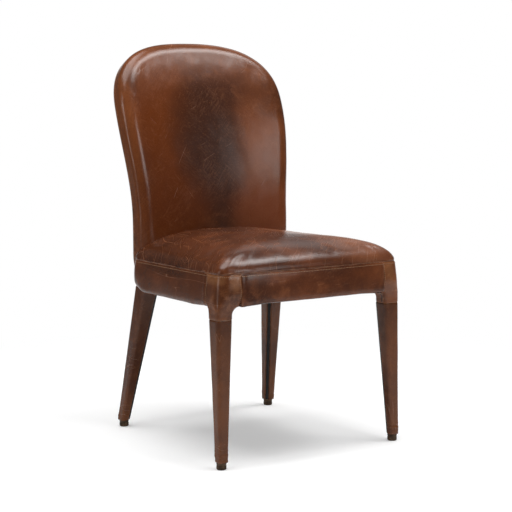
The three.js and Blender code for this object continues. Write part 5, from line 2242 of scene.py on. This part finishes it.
@dataclass(frozen=True)
class Softbox:
    """A rectangular studio light."""

    name: str
    place: Triple
    aim: Triple
    size: Pair
    power: float

    def make(self) -> None:
        """Adds the light to the scene."""
        lamp = bpy.data.lights.new(self.name, "AREA")
        lamp.shape = "RECTANGLE"
        lamp.size, lamp.size_y = self.size
        lamp.energy = self.power
        hang(self.name, lamp, self.place, self.aim)


@dataclass(frozen=True)
class Studio:
    """Camera, pale floor, white surroundings and soft lights."""

    camera_place: Triple = (-2.09096, -3.14947, 0.90550)
    camera_aim: Triple = (0.03014, -0.00482, 0.45320)
    lens: float = 105.469
    sensor: float = 36.0
    floor_reach: float = 14.0
    floor_lift: float = 0.27
    ambient: float = 0.12
    boxes: tuple[Softbox, ...] = (
        Softbox("key_box", (0.93, -3.10, 1.73), (0.1, 0.1, 0.7), (1.17, 1.29), 31.0),
        Softbox("top_box", (1.31, -0.77, 3.20), (0.0, 0, 0.6), (1.40, 0.60), 28.0),
        Softbox("top_rim", (1.32, -0.77, 3.20), (0.0, 0, 0.6), (1.62, 1.20), 22.0),
        Softbox("roof_box", (-0.45, 0.1, 2.8), (0.0, 0.1, 0.0), (1.8, 1.8), 60.0),
        Softbox("left_box", (-2.5, -0.1, 1.2), (0, 0, 0.6), (0.22, 1.6), 12.0),
        Softbox("rear_box", (1.7, 1.15, 2.2), (0, -0.2, 0.5), (1.5, 1.0), 4.0),
    )

    def add_camera(self) -> None:
        """Places the camera at the picture's angle."""
        data = bpy.data.cameras.new("camera")
        data.lens = self.lens
        data.sensor_width = self.sensor
        data.clip_end = 100.0
        bpy.context.scene.camera = hang("camera", data, self.camera_place, self.camera_aim)

    def floor_material(self) -> Material:
        """A white floor that shows shadows near the chair and is plain white far from it."""
        recipe = Recipe("floor")
        away = (recipe.axis("X") ** 2.0 + recipe.axis("Y") ** 2.0) ** 0.5
        far = away.above(0.75, 1.5)
        seen, mirrored = recipe.rays()
        behind = recipe.axis("Y").above(0.4, 1.4) * recipe.axis("X").above(-0.5, 0.3)
        shown = seen.math("MAXIMUM", seen, mirrored * behind)
        lift = recipe.mix(shown, (0, 0, 0, 1), (self.floor_lift,) * 3 + (1,))
        matte = recipe.node(
            "BsdfPrincipled",
            None,
            {
                "Base Color": (0.86, 0.86, 0.86, 1),
                "Roughness": 0.9,
                "Emission Color": lift,
                "Emission Strength": 1.0,
                "Specular IOR Level": 0.1,
            },
        )
        white = recipe.node("Emission", None, {"Color": WHITE, "Strength": 1.0})
        both = recipe.node("MixShader", None, {0: shown * far, 1: matte.outputs[0], 2: white.outputs[0]})
        recipe.node("OutputMaterial", None, {"Surface": both.outputs[0]})
        return recipe.material

    def add_floor(self) -> None:
        """Lays the floor under the feet."""
        mesh = bmesh.new()
        bmesh.ops.create_grid(mesh, x_segments=2, y_segments=2, size=self.floor_reach)
        data = bpy.data.meshes.new("studio_floor")
        mesh.to_mesh(data)
        mesh.free()
        data.materials.append(self.floor_material())
        floor = add_object("studio_floor", data)

    def add_world(self) -> None:
        """White where the camera or a gloss looks, and a mild even light elsewhere."""
        recipe = Recipe("studio", world=True)
        seen, mirrored = recipe.rays()
        sideways = recipe.axis("X").above(0.05, 0.30)
        backdrop = recipe.axis("Y").above(0.25, 0.60) * sideways * recipe.axis("Z").above(0.30, 0.12)
        shown = seen.math("MAXIMUM", seen, mirrored * backdrop)
        mild, white = (
            recipe.node("Background", None, {"Color": WHITE, "Strength": strength})
            for strength in (self.ambient, 1.0)
        )
        both = recipe.node("MixShader", None, {0: shown, 1: mild.outputs[0], 2: white.outputs[0]})
        recipe.node("OutputWorld", None, {"Surface": both.outputs[0]})
        bpy.context.scene.world = recipe.material

    def build(self) -> None:
        """Adds everything but the chair."""
        bpy.context.scene.view_settings.view_transform = "Standard"
        self.add_camera()
        self.add_floor()
        self.add_world()
        for box in self.boxes:
            box.make()


def main() -> None:
    """Builds the studio and dresses the chair."""
    logging.basicConfig(level=logging.INFO, format="%(message)s")
    Studio().build()
    LOG.info("studio ready")
    for finish in Finish:
        LOG.info("mixed %s", finish.material.name)
    dress_frame()
    LOG.info("frame dressed")
    SeatCushion().build()
    skirts = Skirts()
    skirts.build()
    build_back()
    for side in Side:
        CornerPanel(side, skirts).build()
        word = side.name.lower()
        LegDress(FRONT_LEG, side, f"front_{word}").build()
        LegDress(REAR_LEG, side, f"rear_{word}").build()
    Sewing(skirts, Covers(SEWN_COVERS)).build()
    DustCloth().build()


if __name__ == "__main__":
    main()
